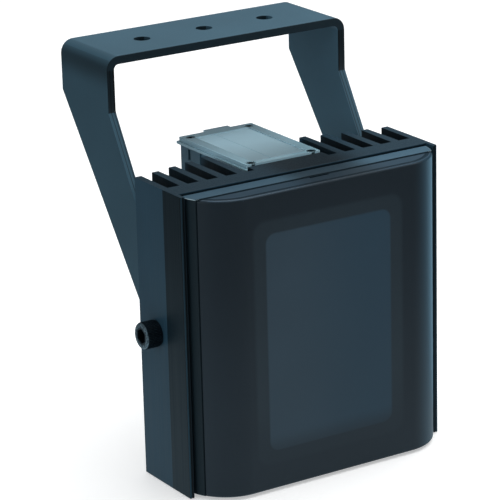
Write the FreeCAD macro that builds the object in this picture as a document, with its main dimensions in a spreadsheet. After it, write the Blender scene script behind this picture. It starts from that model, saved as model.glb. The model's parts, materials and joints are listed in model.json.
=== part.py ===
# Infrared illuminator: a finned heat sink with a dark front cover, a terminal box and a U bracket
# Millimetres. The row's origin is the middle of the bracket bar's top face, +Z up, the light shines along -Y.
# The housing is drawn in its own frame: x = 0 in the middle, y = 0 on the plate's front, z = 0 at its foot.
import FreeCAD, Part
import math
import os
import re
import Sketcher

Vector = FreeCAD.Vector
Rotation = FreeCAD.Rotation

SIZES = {
    # heat sink extrusion
    "sink_width": 175.0,
    "sink_height": 180.0,
    "plate_thick": 14.0,
    "pad_width": 51.0,
    "pad_depth": 7.2,
    "wall_thick": 4.6,
    "wall_reach": 29.0,
    "wall_round": 0.5,
    "lip_reach": 7.2,
    "lip_thick": 3.0,
    "lip_taper": 0.2,
    "lip_chamfer": 0.35,
    "lip_zone": 12.0,
    "groove_width": 0.8,
    "groove_depth": 0.5,
    "fin_count": 4,
    "fin_clear": 0.75,
    "bay_gap": 6.6,
    "fin_root": 5.6,
    "fin_tip": 4.5,
    "fin_step": 2.2,
    "fin_curve": 0.19,
    # pivot, above the foot, and how far the arm's end stays clear of the plate
    "arm_clear": 0.6,
    "pivot_height": 91.8,
    "bolt_radius": 5.0,
    "bolt_head_radius": 8.0,
    "bolt_head_height": 10.0,
    "bolt_head_chamfer": 0.8,
    "bolt_socket": 8.0,
    "bolt_socket_depth": 5.5,
    "bolt_end": 1.2,
    "washer_radius": 9.5,
    "washer_thick": 0.65,
    "hinge_play": 0.05,
    "face_gap": 0.05,
    # bracket strip
    "strip_thick": 5.0,
    "bend_inner": 3.0,
    "bar_width": 54.6,
    "bar_hole_radius": 5.0,
    "bar_hole_pitch": 42.6,
    "pivot_drop": 149.5,
    "pivot_forward": 82.2,
    "rear_kink_drop": 29.4,
    "front_kink_drop": 33.0,
    "arm_end": 9.9,
    "rear_knee_back": 25.5,
    "rear_knee_up": 8.3,
    "front_knee_back": 20.0,
    "front_knee_up": 56.2,
    "strip_edge": 0.4,
    # front cover
    "cover_gap": 0.45,
    "cover_inset": 1.4,
    "cover_depth": 26.0,
    "cover_radius": 28.5,
    "cover_edge": 1.5,
    "gasket_thick": 0.8,
    "gasket_setback": 1.0,
    "gasket_band": 2.2,
    "bezel_depth": 10.8,
    "bezel_wall": 4.5,
    "bezel_flange": 3.0,
    "bezel_ledge": 15.1,
    "bezel_rail": 15.5,
    "spigot_depth": 3.8,
    "spigot_play": 0.2,
    "window_wall": 2.5,
    "window_front": 3.0,
    "parting_inset": 2.2,
    "parting_width": 0.5,
    "parting_depth": 0.4,
    "latch_width": 19.0,
    "latch_reach": 1.0,
    "latch_thick": 0.9,
    "slot_width": 13.0,
    "slot_setback": 0.8,
    "slot_depth": 1.6,
    "lug_play": 0.2,
    "lug_recess": 0.4,
    "gasket_play": 0.1,
    "screw_play": 0.2,
    "light_width": 80.0,
    "light_margin": 25.0,
    "light_depth": 1.0,
    "light_round": 6.0,
    # optics and their boards
    "board_split": 1.0,
    "board_thick": 1.6,
    "emitter_size": 3.5,
    "emitter_height": 1.6,
    "lens_rows": 6,
    "lens_side": 1.2,
    "lens_edge": 5.0,
    "lens_front": 8.8,
    "lens_back": 3.4,
    "lens_gap": 0.1,
    "lens_depth": 7.7,
    "lens_margin": 0.8,
    "lens_plate": 2.0,
    "pillar_radius": 3.2,
    "mask_thick": 1.5,
    "mask_play": 0.3,
    "mask_collar": 1.2,
    # connectors and leads between board and driver
    "lead_drop": 17.0,
    "lead_radius": 0.55,
    "lead_first": 1.3,
    "lead_pitch": 1.6,
    "lead_bend": 3.0,
    "lead_foot": 12.0,
    "connector_width": 3.2,
    "connector_height": 6.0,
    "connector_depth": 4.0,
    "bushing_radius": 5.0,
    "bushing_bore": 3.7,
    "bushing_flange": 6.5,
    "bushing_lip": 1.0,
    # terminal box
    "box_width": 49.6,
    "box_length": 75.4,
    "box_height": 55.0,
    "box_wall": 2.5,
    "box_post": 3.4,
    "box_post_inset": 4.2,
    "box_screw_side": 10.5,
    "box_screw_rise": 11.6,
    "box_rib": 1.0,
    "box_rib_place": 52.0,
    "box_slot_place": 64.4,
    "box_slot_width": 2.4,
    "box_slot_height": 6.5,
    "lid_overhang": 1.7,
    "lid_proud": 0.8,
    "lid_thick": 4.2,
    "lid_flange": 1.6,
    "lid_step": 1.2,
    "lid_tab_width": 17.0,
    "lid_tab_reach": 2.4,
    "lid_tab_shift": 2.2,
    "lid_field_side": 8.0,
    "lid_field_front": 5.6,
    "lid_field_rear": 8.3,
    "lid_field_depth": 0.5,
    "lid_line_place": 5.0,
    "lid_line_width": 0.5,
    "lid_line_depth": 0.2,
    "lid_recess": 3.0,
    "lid_recess_depth": 2.0,
    "lid_seal_inset": 0.4,
    "lid_seal_band": 1.6,
    "lid_hollow": 1.2,
    "lid_front_gap": 0.2,
    # driver board and what stands on it
    "driver_side": 7.8,
    "driver_margin": 4.7,
    "driver_drop": 30.0,
    "driver_post": 2.5,
    "driver_post_inset": 5.0,
    "terminal_back": 15.0,
    "chip_along": 17.0,
    "terminal_bore": 1.6,
    "terminal_screw_floor": 8.4,
    "terminal_wire_rise": 3.6,
    "terminal_width": 30.0,
    "terminal_depth": 10.0,
    "terminal_height": 12.0,
    "terminal_poles": 6,
    "coil_size": 14.0,
    "coil_base": 2.5,
    "coil_height": 7.5,
    "coil_radius": 6.4,
    "capacitor_radius": 6.0,
    "capacitor_height": 16.0,
    "chip_size": 8.0,
    "chip_height": 2.0,
    "photocell_radius": 3.5,
    "photocell_height": 4.0,
    # cable gland
    "gland_place": 40.0,
    "gland_thread": 8.0,
    "gland_bore": 4.6,
    "gland_flats": 20.0,
    "gland_collar": 4.0,
    "gland_stub": 8.0,
    "gland_nut_height": 13.0,
    "gland_dome": 4.0,
    "gland_mouth": 5.2,
    "gland_play": 0.05,
    "seal_bore": 4.0,
    "seal_radius": 6.6,
    "seal_height": 9.0,
    "seal_seat": 7.0,
    "locknut_flats": 22.0,
    "locknut_height": 4.0,
    # small screws
    "m3_radius": 1.5,
    "m3_head_radius": 2.75,
    "m3_head_height": 1.8,
    "m3_key": 1.8,
    "m3_bite": 6.0,
    "m4_radius": 2.0,
    "m4_head_radius": 3.6,
    "m4_head_height": 2.6,
    "m4_key": 2.4,
    "m4_bite": 7.0,
    "thread_play": 0.02,
    "hole_extra": 1.0,
    # how far cutters run past a face, and joined shapes run into each other
    "past": 1.0,
    "weld": 0.5,
}

# Sizes that follow from the ones above, as expressions of the sheet
HALF_WIDTH = "(sink_width / 2)"
PIVOT_DEPTH = "(plate_thick + arm_clear + arm_end)"
HOUSING_Y = f"(-(pivot_forward + {PIVOT_DEPTH}))"
HOUSING_Z = "(-(pivot_drop + pivot_height))"
ARM_FACE = "(sink_width / 2 - wall_thick - washer_thick - face_gap)"
FIRST_FIN = f"({ARM_FACE} - strip_thick - bolt_end - fin_clear - fin_root / 2)"
LAST_FIN = "(box_width / 2 + bay_gap + fin_root / 2)"
PAD_REAR = "(plate_thick + pad_depth)"
WALL_END = "(plate_thick + wall_reach)"
COVER_HEIGHT = "(sink_height - 2 * cover_inset)"
COVER_HALF = "(sink_width / 2 - lip_thick - cover_gap)"
COVER_ARC_Y = "(cover_radius - cover_depth)"
COVER_ARC_X = f"({COVER_HALF} - sqrt(cover_radius ^ 2 - (cover_radius - cover_depth) ^ 2))"
BEZEL_REAR = "(-gasket_thick)"
BEZEL_FRONT = "(-(gasket_thick + bezel_depth))"
WINDOW_REAR = "(-(2 * gasket_thick + bezel_depth))"
SPIGOT_INSET = "(window_wall + spigot_play)"
SPIGOT_FRONT = "(-(2 * gasket_thick + bezel_depth + spigot_depth))"
SLOT_REAR = "(-(2 * gasket_thick + bezel_depth + slot_setback))"
SLOT_FRONT = "(-(2 * gasket_thick + bezel_depth + slot_setback + slot_depth))"
MASK_FRONT = f"({COVER_ARC_Y} - {SPIGOT_FRONT} + mask_thick)"
MASK_HALF = f"({COVER_ARC_X} + sqrt((cover_radius - window_wall) ^ 2 - {MASK_FRONT} ^ 2) - mask_play)"
MIDDLE = "(sink_height / 2)"
LIGHT_FOOT = "light_margin"
LIGHT_TOP = "(sink_height - light_margin)"
LEAD_Z = "(sink_height - lead_drop)"
BOARD_WIDTH = "((light_width - board_split) / 2)"
BOARD_MIDDLE = "((light_width + board_split) / 4)"
LENS_ACROSS = f"({BOARD_WIDTH} - 2 * lens_front - 2 * lens_side)"
LENS_UP = f"(({LIGHT_TOP} - {LIGHT_FOOT} - 2 * lens_front - 2 * lens_edge) / (lens_rows - 1))"
LENS_BACK = "(-(board_thick + emitter_height + lens_gap))"
LENS_FRONT = "(-(board_thick + emitter_height + lens_gap + lens_depth))"
OPTIC_FRONT = "(-(board_thick + emitter_height + lens_gap + lens_depth + lens_plate))"
BOX_BOTTOM = "(sink_height - box_height)"
LID_TOP = "(sink_height + lid_proud)"
LID_BOTTOM = f"({LID_TOP} - lid_thick)"
BOX_RIM = f"({LID_BOTTOM} - gasket_thick)"
BOX_REAR = f"({PAD_REAR} + box_length)"
LID_WIDTH = "(box_width + 2 * lid_overhang)"
LID_FRONT = f"({PAD_REAR} + lid_front_gap)"
LID_LENGTH = "(box_length + lid_overhang - lid_front_gap)"
POST_X = "(box_width / 2 - box_post_inset)"
POST_FRONT = f"({PAD_REAR} + box_post_inset)"
POST_REAR = f"({PAD_REAR} + box_length - box_post_inset)"
DRIVER_Z = "(sink_height - driver_drop)"
DRIVER_TOP = "(sink_height - driver_drop + board_thick)"
DRIVER_WIDTH = "(box_width - 2 * driver_side)"
DRIVER_LENGTH = "(box_length - 2 * driver_margin)"
DRIVER_FRONT = f"({PAD_REAR} + driver_margin)"
GLAND_Y = f"({PAD_REAR} + gland_place)"

# How near an edge lies to the plane that it is looked for on
NEAR = 0.01

doc = FreeCAD.newDocument("illuminator")
sheet = doc.addObject("Spreadsheet::Sheet", "sizes")
subparts = []


def fill_sheet():
    """Write every size to a named cell of the sheet."""
    for row, (alias, number) in enumerate(SIZES.items(), start=1):
        sheet.set(f"A{row}", alias)
        sheet.set(f"B{row}", str(number))
        sheet.setAlias(f"B{row}", alias)
    doc.recompute()


def sheet_words(expression):
    """Point each size's name in an expression at its cell."""
    def cell(word):
        return f"sizes.{word[0]}" if word[0] in SIZES else word[0]

    return re.sub(r"[a-z][a-z_0-9]*", cell, str(expression))


def value(expression):
    """Give the number that an expression of sizes stands for."""
    return float(sheet.evalExpression(sheet_words(expression)))


def bind(thing, path, expression):
    """Tie one property of an object to the sheet."""
    thing.setExpression(path, sheet_words(expression))


def negative(expression):
    """Turn an expression's sign."""
    return f"(-({expression}))"


# Part primitives, each placed by expressions
TURNS = {"X": Rotation(Vector(0, 1, 0), 90), "Y": Rotation(Vector(1, 0, 0), -90), "Z": Rotation()}


def place(thing, at, turn=None):
    """Turn an object and bind where it stands."""
    if turn is not None:
        thing.Placement = FreeCAD.Placement(Vector(), turn)
    for letter, expression in zip("xyz", at):
        bind(thing, f"Placement.Base.{letter}", expression)
    return thing


def block(name, size, at):
    """A block by its lengths along X, Y and Z and its lowest corner."""
    made = doc.addObject("Part::Box", name)
    for path, expression in zip(("Length", "Width", "Height"), size):
        bind(made, path, expression)
    return place(made, at)


def centred_block(name, width, at_x, y_range, z_range):
    """A block of a width about a middle line, between two Y and two Z values."""
    size = (width, f"({y_range[1]}) - ({y_range[0]})", f"({z_range[1]}) - ({z_range[0]})")
    return block(name, size, (f"({at_x}) - ({width}) / 2", y_range[0], z_range[0]))


def rod(name, radius, length, at, along="Z"):
    """A cylinder from a point along one axis."""
    made = doc.addObject("Part::Cylinder", name)
    bind(made, "Radius", radius)
    bind(made, "Height", length)
    return place(made, at, TURNS[along])


def cone(name, first, second, length, at, along="Z"):
    """A cone from a point along one axis, by its two radii."""
    made = doc.addObject("Part::Cone", name)
    bind(made, "Radius1", first)
    bind(made, "Radius2", second)
    bind(made, "Height", length)
    return place(made, at, TURNS[along])


def hexagon(name, flats, length, at, along="Z"):
    """A hexagonal prism by its width across flats."""
    made = doc.addObject("Part::Prism", name)
    made.Polygon = 6
    bind(made, "Circumradius", f"({flats}) / sqrt(3)")
    bind(made, "Height", length)
    return place(made, at, TURNS[along])


def fuse(name, pieces):
    """Join pieces to one."""
    made = doc.addObject("Part::MultiFuse", name)
    made.Shapes = pieces
    made.Refine = True
    return made


def cut(name, base, tools):
    """Cut one or more tools from a base."""
    made = doc.addObject("Part::Cut", name)
    made.Base = base
    made.Tool = tools[0] if len(tools) == 1 else fuse(f"{name}_tools", tools)
    made.Refine = True
    return made


def set_of(name, pieces):
    """Gather one or more separate solids in one node."""
    made = doc.addObject("Part::Compound", name)
    made.Links = pieces
    return made


def keep(label, thing):
    """Record a finished sub-part by the name of its file."""
    thing.Label = label
    subparts.append(thing)
    return thing


def keep_on_housing(label, thing):
    """Record a sub-part that is drawn in the housing's frame, and move it there."""
    place(thing, ("0", HOUSING_Y, HOUSING_Z))
    return keep(label, thing)


# Bodies and sketches
def new_body(name):
    """Start a body."""
    return doc.addObject("PartDesign::Body", name)


def sketch_on(body, name, plane, offset="0"):
    """Lay a sketch on one of the body's own planes, or parallel to it."""
    sketch = body.newObject("Sketcher::SketchObject", name)
    support = next(feature for feature in body.Origin.OriginFeatures if feature.Role == plane)
    sketch.AttachmentSupport = [(support, "")]
    sketch.MapMode = "FlatFace"
    bind(sketch, ".AttachmentOffset.Base.z", offset)
    return sketch


def fix(sketch, geometry, end, across=None, up=None):
    """Bind a point's distances from the sketch's origin."""
    for kind, expression in (("DistanceX", across), ("DistanceY", up)):
        if expression is None:
            continue
        number = sketch.addConstraint(Sketcher.Constraint(kind, -1, 1, geometry, end, value(expression)))
        sketch.setExpression(f"Constraints[{number}]", sheet_words(expression))


def polygon(sketch, corners):
    """Draw a closed outline through corners, each bound to the sheet."""
    points = [Vector(value(across), value(up), 0) for across, up in corners]
    first = sketch.GeometryCount
    count = len(points)
    for index, point in enumerate(points):
        sketch.addGeometry(Part.LineSegment(point, points[(index + 1) % count]), False)
    for index, (across, up) in enumerate(corners):
        following = first + (index + 1) % count
        sketch.addConstraint(Sketcher.Constraint("Coincident", first + index, 2, following, 1))
        fix(sketch, first + index, 1, across, up)


def rectangle(sketch, low, high):
    """Draw a rectangle between two corners."""
    polygon(sketch, [(low[0], low[1]), (high[0], low[1]), (high[0], high[1]), (low[0], high[1])])


def circle(sketch, centre, radius):
    """Draw a circle bound to the sheet."""
    middle = Vector(value(centre[0]), value(centre[1]), 0)
    number = sketch.addGeometry(Part.Circle(middle, Vector(0, 0, 1), value(radius)), False)
    fix(sketch, number, 3, *centre)
    constraint = sketch.addConstraint(Sketcher.Constraint("Radius", number, value(radius)))
    sketch.setExpression(f"Constraints[{constraint}]", sheet_words(radius))


def add_arc(sketch, centre, radius, start, end):
    """Draw an arc, counterclockwise from start to end, with its centre and radius bound."""
    middle = Vector(value(centre[0]), value(centre[1]), 0)
    angles = [math.atan2(point.y - middle.y, point.x - middle.x) for point in (start, end)]
    full = Part.Circle(middle, Vector(0, 0, 1), value(radius))
    number = sketch.addGeometry(Part.ArcOfCircle(full, angles[0], angles[1]), False)
    fix(sketch, number, 3, *centre)
    constraint = sketch.addConstraint(Sketcher.Constraint("Radius", number, value(radius)))
    sketch.setExpression(f"Constraints[{constraint}]", sheet_words(radius))
    return number


def cover_outline(sketch, inset, rear, front=None):
    """Draw the cover's plan, moved in by an inset: straight behind and in front, round at both ends.

    Without a front the outline ends where its arcs meet the front tangentially.
    """
    radius = f"(cover_radius - ({inset}))"
    arc_x = value(COVER_ARC_X)
    arc_y = value(COVER_ARC_Y)
    reach = value(radius)
    rear_y = value(rear)
    front_y = arc_y - reach if front is None else value(front)
    rear_x = arc_x + math.sqrt(reach ** 2 - (arc_y - rear_y) ** 2)
    front_x = arc_x + math.sqrt(max(reach ** 2 - (arc_y - front_y) ** 2, 0))
    corners = [Vector(front_x, front_y, 0), Vector(rear_x, rear_y, 0)]
    corners += [Vector(-rear_x, rear_y, 0), Vector(-front_x, front_y, 0)]
    right = add_arc(sketch, (COVER_ARC_X, COVER_ARC_Y), radius, corners[0], corners[1])
    rear_line = sketch.addGeometry(Part.LineSegment(corners[1], corners[2]), False)
    left = add_arc(sketch, (negative(COVER_ARC_X), COVER_ARC_Y), radius, corners[2], corners[3])
    front_line = sketch.addGeometry(Part.LineSegment(corners[3], corners[0]), False)
    for one, other in ((right, rear_line), (rear_line, left), (left, front_line), (front_line, right)):
        sketch.addConstraint(Sketcher.Constraint("Coincident", one, 2, other, 1))
    fix(sketch, right, 2, up=rear)
    fix(sketch, left, 1, up=rear)
    if front is None:
        fix(sketch, right, 1, across=COVER_ARC_X)
        fix(sketch, left, 2, across=negative(COVER_ARC_X))
    else:
        fix(sketch, right, 1, up=front)
        fix(sketch, left, 2, up=front)


def pad(body, sketch, length, both_ways=False):
    """Raise a sketch to a solid along its normal."""
    feature = body.newObject("PartDesign::Pad", f"{sketch.Name}_pad")
    feature.Profile = sketch
    bind(feature, "Length", length)
    feature.Midplane = both_ways
    sketch.Visibility = False
    doc.recompute()
    return feature


def pocket(body, sketch, length=None, both_ways=False, backwards=False):
    """Cut a sketch into the body, against its normal, and make sure that it removes something."""
    before = body.Shape.Volume
    feature = body.newObject("PartDesign::Pocket", f"{sketch.Name}_pocket")
    feature.Profile = sketch
    if length is None:
        feature.Type = "ThroughAll"
    else:
        bind(feature, "Length", length)
    feature.Midplane = both_ways
    feature.Reversed = backwards
    doc.recompute()
    if body.Shape.Volume >= before:
        raise RuntimeError(f"{feature.Name} removes nothing")
    return feature


def edges_where(shape, wanted):
    """Name the edges whose sample points all pass a test."""
    names = []
    for number, edge in enumerate(shape.Edges, start=1):
        low, high = edge.ParameterRange
        points = [edge.valueAt(low + (high - low) * share) for share in (0.1, 0.5, 0.9)]
        if all(wanted(point) for point in points):
            names.append(f"Edge{number}")
    return names


def round_edges(body, name, radius, wanted):
    """Round the edges of the body's tip that pass a test."""
    tip = body.Tip
    feature = body.newObject("PartDesign::Fillet", name)
    feature.Base = (tip, edges_where(tip.Shape, wanted))
    bind(feature, "Radius", radius)
    doc.recompute()
    return feature


# The heat sink: one extrusion, drilled
def fin_place(index):
    """The middle of a fin, counted from the wall: evenly spaced from the arm's slot to the box's bay."""
    return f"({FIRST_FIN} - {index - 1} * ({FIRST_FIN} - {LAST_FIN}) / (fin_count - 1))"


def fin_end(index):
    """How far back a fin reaches: the middle ones are longer."""
    return f"({WALL_END} + {index} * fin_step + {index} ^ 2 * fin_curve)"


def wall_corners():
    """The right wall with its lip: a light taper and a fine groove at the front, going round the section."""
    tip = "(-lip_reach)"
    inner = f"({HALF_WIDTH} - lip_thick)"
    outer = f"({HALF_WIDTH} - lip_taper)"
    groove = f"({HALF_WIDTH} - lip_taper / 2 - lip_thick / 2)"
    return [
        (inner, tip),
        (f"{groove} - groove_width / 2", tip),
        (groove, "groove_depth - lip_reach"),
        (f"{groove} + groove_width / 2", tip),
        (f"{outer} - lip_chamfer", tip),
        (outer, "lip_chamfer - lip_reach"),
        (HALF_WIDTH, "lip_zone"),
        (HALF_WIDTH, WALL_END),
        (f"{HALF_WIDTH} - wall_thick", WALL_END),
        (f"{HALF_WIDTH} - wall_thick", "plate_thick / 2"),
        (inner, "plate_thick / 2"),
    ]


def fin_corners(index):
    """One tapered fin, rooted in the plate."""
    middle = fin_place(index)
    return [
        (f"{middle} - fin_root / 2", "plate_thick / 2"),
        (f"{middle} + fin_root / 2", "plate_thick / 2"),
        (f"{middle} + fin_root / 2", "plate_thick"),
        (f"{middle} + fin_tip / 2", fin_end(index)),
        (f"{middle} - fin_tip / 2", fin_end(index)),
        (f"{middle} - fin_root / 2", "plate_thick"),
    ]


def bezel_screw_places():
    """Where the bezel is screwed to the plate, near its four corners."""
    across = f"({COVER_HALF} - bezel_wall - bezel_ledge / 2)"
    rim = "((cover_inset + bezel_wall + bezel_rail) / 2)"
    places = []
    for side in (across, negative(across)):
        places += [(side, rim), (side, f"(sink_height - {rim})")]
    return places


def optic_screw_places():
    """Where the lens plates and boards are screwed to the plate."""
    places = []
    for side in (BOARD_MIDDLE, negative(BOARD_MIDDLE)):
        places += [(side, f"({MIDDLE} + {step} * {LENS_UP})") for step in (-2, 0, 2)]
    return places


def box_screw_places():
    """Where the box is screwed to the pad."""
    height = f"({BOX_BOTTOM} + box_screw_rise)"
    return [("box_screw_side", height), ("(-box_screw_side)", height)]


def make_heat_sink():
    """The extrusion with its pivot holes, tapped holes and lead hole."""
    body = new_body("HeatSink")
    sketch = sketch_on(body, "sink_plate", "XY_Plane")
    rectangle(sketch, (f"-({HALF_WIDTH} - lip_thick)", "0"), (f"{HALF_WIDTH} - lip_thick", "plate_thick"))
    pad(body, sketch, "sink_height")
    sketch = sketch_on(body, "sink_pad", "XY_Plane")
    rectangle(sketch, ("-pad_width / 2", "plate_thick / 2"), ("pad_width / 2", PAD_REAR))
    pad(body, sketch, "sink_height")
    sketch = sketch_on(body, "sink_wall", "XY_Plane")
    polygon(sketch, wall_corners())
    mirrored = [pad(body, sketch, "sink_height")]
    for index in range(1, int(value("fin_count")) + 1):
        sketch = sketch_on(body, f"sink_fin{index}", "XY_Plane")
        polygon(sketch, fin_corners(index))
        mirrored.append(pad(body, sketch, "sink_height"))
    sketch = sketch_on(body, "sink_pivot", "YZ_Plane", HALF_WIDTH)
    circle(sketch, (PIVOT_DEPTH, "pivot_height"), "bolt_radius + hinge_play")
    mirrored.append(pocket(body, sketch, "wall_thick + washer_thick"))
    mirror = body.newObject("PartDesign::Mirrored", "sink_mirror")
    mirror.Originals = mirrored
    mirror.MirrorPlane = (next(f for f in body.Origin.OriginFeatures if f.Role == "YZ_Plane"), [""])
    body.Tip = mirror
    doc.recompute()
    sketch = sketch_on(body, "sink_optic_holes", "XZ_Plane")
    for centre in optic_screw_places():
        circle(sketch, centre, "m3_radius + thread_play")
    pocket(body, sketch, "m3_bite + hole_extra")
    sketch = sketch_on(body, "sink_bezel_holes", "XZ_Plane")
    for centre in bezel_screw_places():
        circle(sketch, centre, "m4_radius + thread_play")
    pocket(body, sketch, "m4_bite + hole_extra")
    sketch = sketch_on(body, "sink_box_holes", "XZ_Plane", negative(PAD_REAR))
    for centre in box_screw_places():
        circle(sketch, centre, "m4_radius + thread_play")
    pocket(body, sketch, "m4_bite + hole_extra", backwards=True)
    sketch = sketch_on(body, "sink_lead_hole", "XZ_Plane")
    circle(sketch, ("0", LEAD_Z), "bushing_radius + thread_play")
    pocket(body, sketch, f"{PAD_REAR} + past")
    corner = value(HALF_WIDTH)
    back = value(WALL_END)
    round_edges(body, "sink_wall_round", "wall_round",
                lambda point: abs(abs(point.x) - corner) < NEAR and abs(point.y - back) < NEAR)
    keep_on_housing("heat_sink", body)


# The bracket: one bent strip with tapered arms, in the row's frame
def tangent_point(outside, centre, radius, side):
    """Where a line from a point touches a circle, on its left (1) or right (-1) as seen from the point."""
    offset = centre - outside
    swing = math.asin(radius / offset.Length)
    direction = Rotation(Vector(0, 0, 1), math.degrees(side * swing)).multVec(offset)
    return outside + direction * math.cos(swing)


def section_of_strip(sketch):
    """The U of the bent strip, seen along the bar's width."""
    face = ARM_FACE
    foot = "(-(pivot_drop + arm_end + past))"
    inner_face = f"({face} - strip_thick)"
    polygon(sketch, [
        (negative(face), foot), (negative(face), "0"), (face, "0"), (face, foot),
        (inner_face, foot), (inner_face, "-strip_thick"), (negative(inner_face), "-strip_thick"),
        (negative(inner_face), foot),
    ])


def make_bracket():
    """The strip, bent to a U, cut to its side outline, drilled and tapped."""
    body = new_body("Bracket")
    sketch = sketch_on(body, "bracket_section", "XZ_Plane")
    section_of_strip(sketch)
    pad(body, sketch, "2 * (pivot_forward + bar_width)", both_ways=True)
    face = value(ARM_FACE)
    inner = face - value("strip_thick")
    round_edges(body, "bracket_outer_bends", "bend_inner + strip_thick",
                lambda point: abs(abs(point.x) - face) < NEAR and abs(point.z) < NEAR)
    drop = value("strip_thick")
    round_edges(body, "bracket_inner_bends", "bend_inner",
                lambda point: abs(abs(point.x) - inner) < NEAR and abs(point.z + drop) < NEAR)
    cut_side_outline(body)
    sketch = sketch_on(body, "bracket_pivots", "YZ_Plane")
    circle(sketch, ("-pivot_forward", "-pivot_drop"), "bolt_radius + thread_play")
    pocket(body, sketch, both_ways=True)
    sketch = sketch_on(body, "bracket_bar_holes", "XY_Plane")
    for across in ("-bar_hole_pitch", "0", "bar_hole_pitch"):
        circle(sketch, (across, "0"), "bar_hole_radius")
    pocket(body, sketch, "strip_thick + past")
    half_bar = value("bar_width") / 2
    rear_kink = NEAR - value("rear_kink_drop")
    front_kink = NEAR - value("front_kink_drop")
    round_edges(body, "bracket_edges", "strip_edge",
                lambda point: abs(abs(point.y) - half_bar) < NEAR
                and point.z > (rear_kink if point.y > 0 else front_kink))
    keep("bracket", body)


def cut_side_outline(body):
    """Cut away all of the strip that lies outside the arms' side outline."""
    sketch = sketch_on(body, "bracket_side", "YZ_Plane")
    margin = "(pivot_forward + bar_width + past)"
    rectangle(sketch, (negative(margin), "-(pivot_drop + arm_end + 2 * past)"), (margin, "3 * past"))
    pivot = ("-pivot_forward", "-pivot_drop")
    corners = [
        ("-bar_width / 2", "past"),
        ("bar_width / 2", "past"),
        ("bar_width / 2", "-rear_kink_drop"),
        ("rear_knee_back - pivot_forward", "rear_knee_up - pivot_drop"),
        ("front_knee_back - pivot_forward", "front_knee_up - pivot_drop"),
        ("-bar_width / 2", "-front_kink_drop"),
    ]
    points = [Vector(value(across), value(up), 0) for across, up in corners]
    centre = Vector(value(pivot[0]), value(pivot[1]), 0)
    radius = value("arm_end")
    rear_touch = tangent_point(points[3], centre, radius, 1)
    front_touch = tangent_point(points[4], centre, radius, -1)
    lines = {}
    pairs = {
        "top": (points[0], points[1]), "rear": (points[1], points[2]), "rear_slope": (points[2], points[3]),
        "rear_end": (points[3], rear_touch), "front_end": (front_touch, points[4]),
        "front_slope": (points[4], points[5]), "front": (points[5], points[0]),
    }
    for name, (start, end) in pairs.items():
        lines[name] = sketch.addGeometry(Part.LineSegment(start, end), False)
    arc = add_arc(sketch, pivot, "arm_end", front_touch, rear_touch)
    for one, other in (("top", "rear"), ("rear", "rear_slope"), ("rear_slope", "rear_end"),
                       ("front_end", "front_slope"), ("front_slope", "front"), ("front", "top")):
        sketch.addConstraint(Sketcher.Constraint("Coincident", lines[one], 2, lines[other], 1))
    sketch.addConstraint(Sketcher.Constraint("Tangent", lines["rear_end"], 2, arc, 2))
    sketch.addConstraint(Sketcher.Constraint("Tangent", lines["front_end"], 1, arc, 1))
    for name, corner in (("top", 0), ("rear", 1), ("rear_slope", 2), ("rear_end", 3), ("front_slope", 4),
                         ("front", 5)):
        fix(sketch, lines[name], 1, *corners[corner])
    pocket(body, sketch, both_ways=True)


# The front cover: bezel, window and their gaskets
def make_cover_bezel():
    """The rear half of the cover: a frame with a flange behind and a spigot into the window."""
    body = new_body("CoverBezel")
    sketch = sketch_on(body, "bezel_outline", "XY_Plane", "cover_inset")
    cover_outline(sketch, "0", BEZEL_REAR, BEZEL_FRONT)
    pad(body, sketch, COVER_HEIGHT)
    sketch = sketch_on(body, "bezel_spigot", "XY_Plane", f"cover_inset + {SPIGOT_INSET}")
    cover_outline(sketch, SPIGOT_INSET, f"({BEZEL_FRONT} + past)", SPIGOT_FRONT)
    pad(body, sketch, f"{COVER_HEIGHT} - 2 * {SPIGOT_INSET}")
    sketch = sketch_on(body, "bezel_lugs", "XY_Plane", "cover_inset + lug_recess")
    rectangle(sketch, ("-slot_width / 2 + lug_play", f"{SLOT_FRONT} + lug_play"),
              ("slot_width / 2 - lug_play", f"{SLOT_REAR} - lug_play"))
    pad(body, sketch, f"{COVER_HEIGHT} - 2 * lug_recess")
    sketch = sketch_on(body, "bezel_hollow", "XY_Plane", "cover_inset + bezel_wall")
    cover_outline(sketch, "bezel_wall", f"({BEZEL_REAR} - bezel_flange)", f"({SPIGOT_FRONT} - weld)")
    pocket(body, sketch, f"{COVER_HEIGHT} - 2 * bezel_wall", backwards=True)
    sketch = sketch_on(body, "bezel_opening", "XZ_Plane")
    half = f"({COVER_HALF} - bezel_wall - bezel_ledge)"
    rectangle(sketch, (negative(half), "bezel_rail"), (half, "sink_height - bezel_rail"))
    pocket(body, sketch, "gasket_thick + bezel_flange + past", backwards=True)
    sketch = sketch_on(body, "bezel_screw_holes", "XZ_Plane")
    for centre in bezel_screw_places():
        circle(sketch, centre, "m4_radius + screw_play")
    pocket(body, sketch, "gasket_thick + bezel_flange + past", backwards=True)
    for name, low, high in (("top", "sink_height - cover_inset - latch_thick - face_gap", "sink_height"),
                            ("foot", "0", "cover_inset + latch_thick + face_gap")):
        plane = negative(f"{BEZEL_FRONT} + latch_reach + face_gap")
        sketch = sketch_on(body, f"bezel_notch_{name}", "XZ_Plane", plane)
        rectangle(sketch, ("-latch_width / 2 - face_gap", low), ("latch_width / 2 + face_gap", high))
        pocket(body, sketch, "latch_reach + face_gap", backwards=True)
    keep_on_housing("cover_bezel", body)


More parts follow.
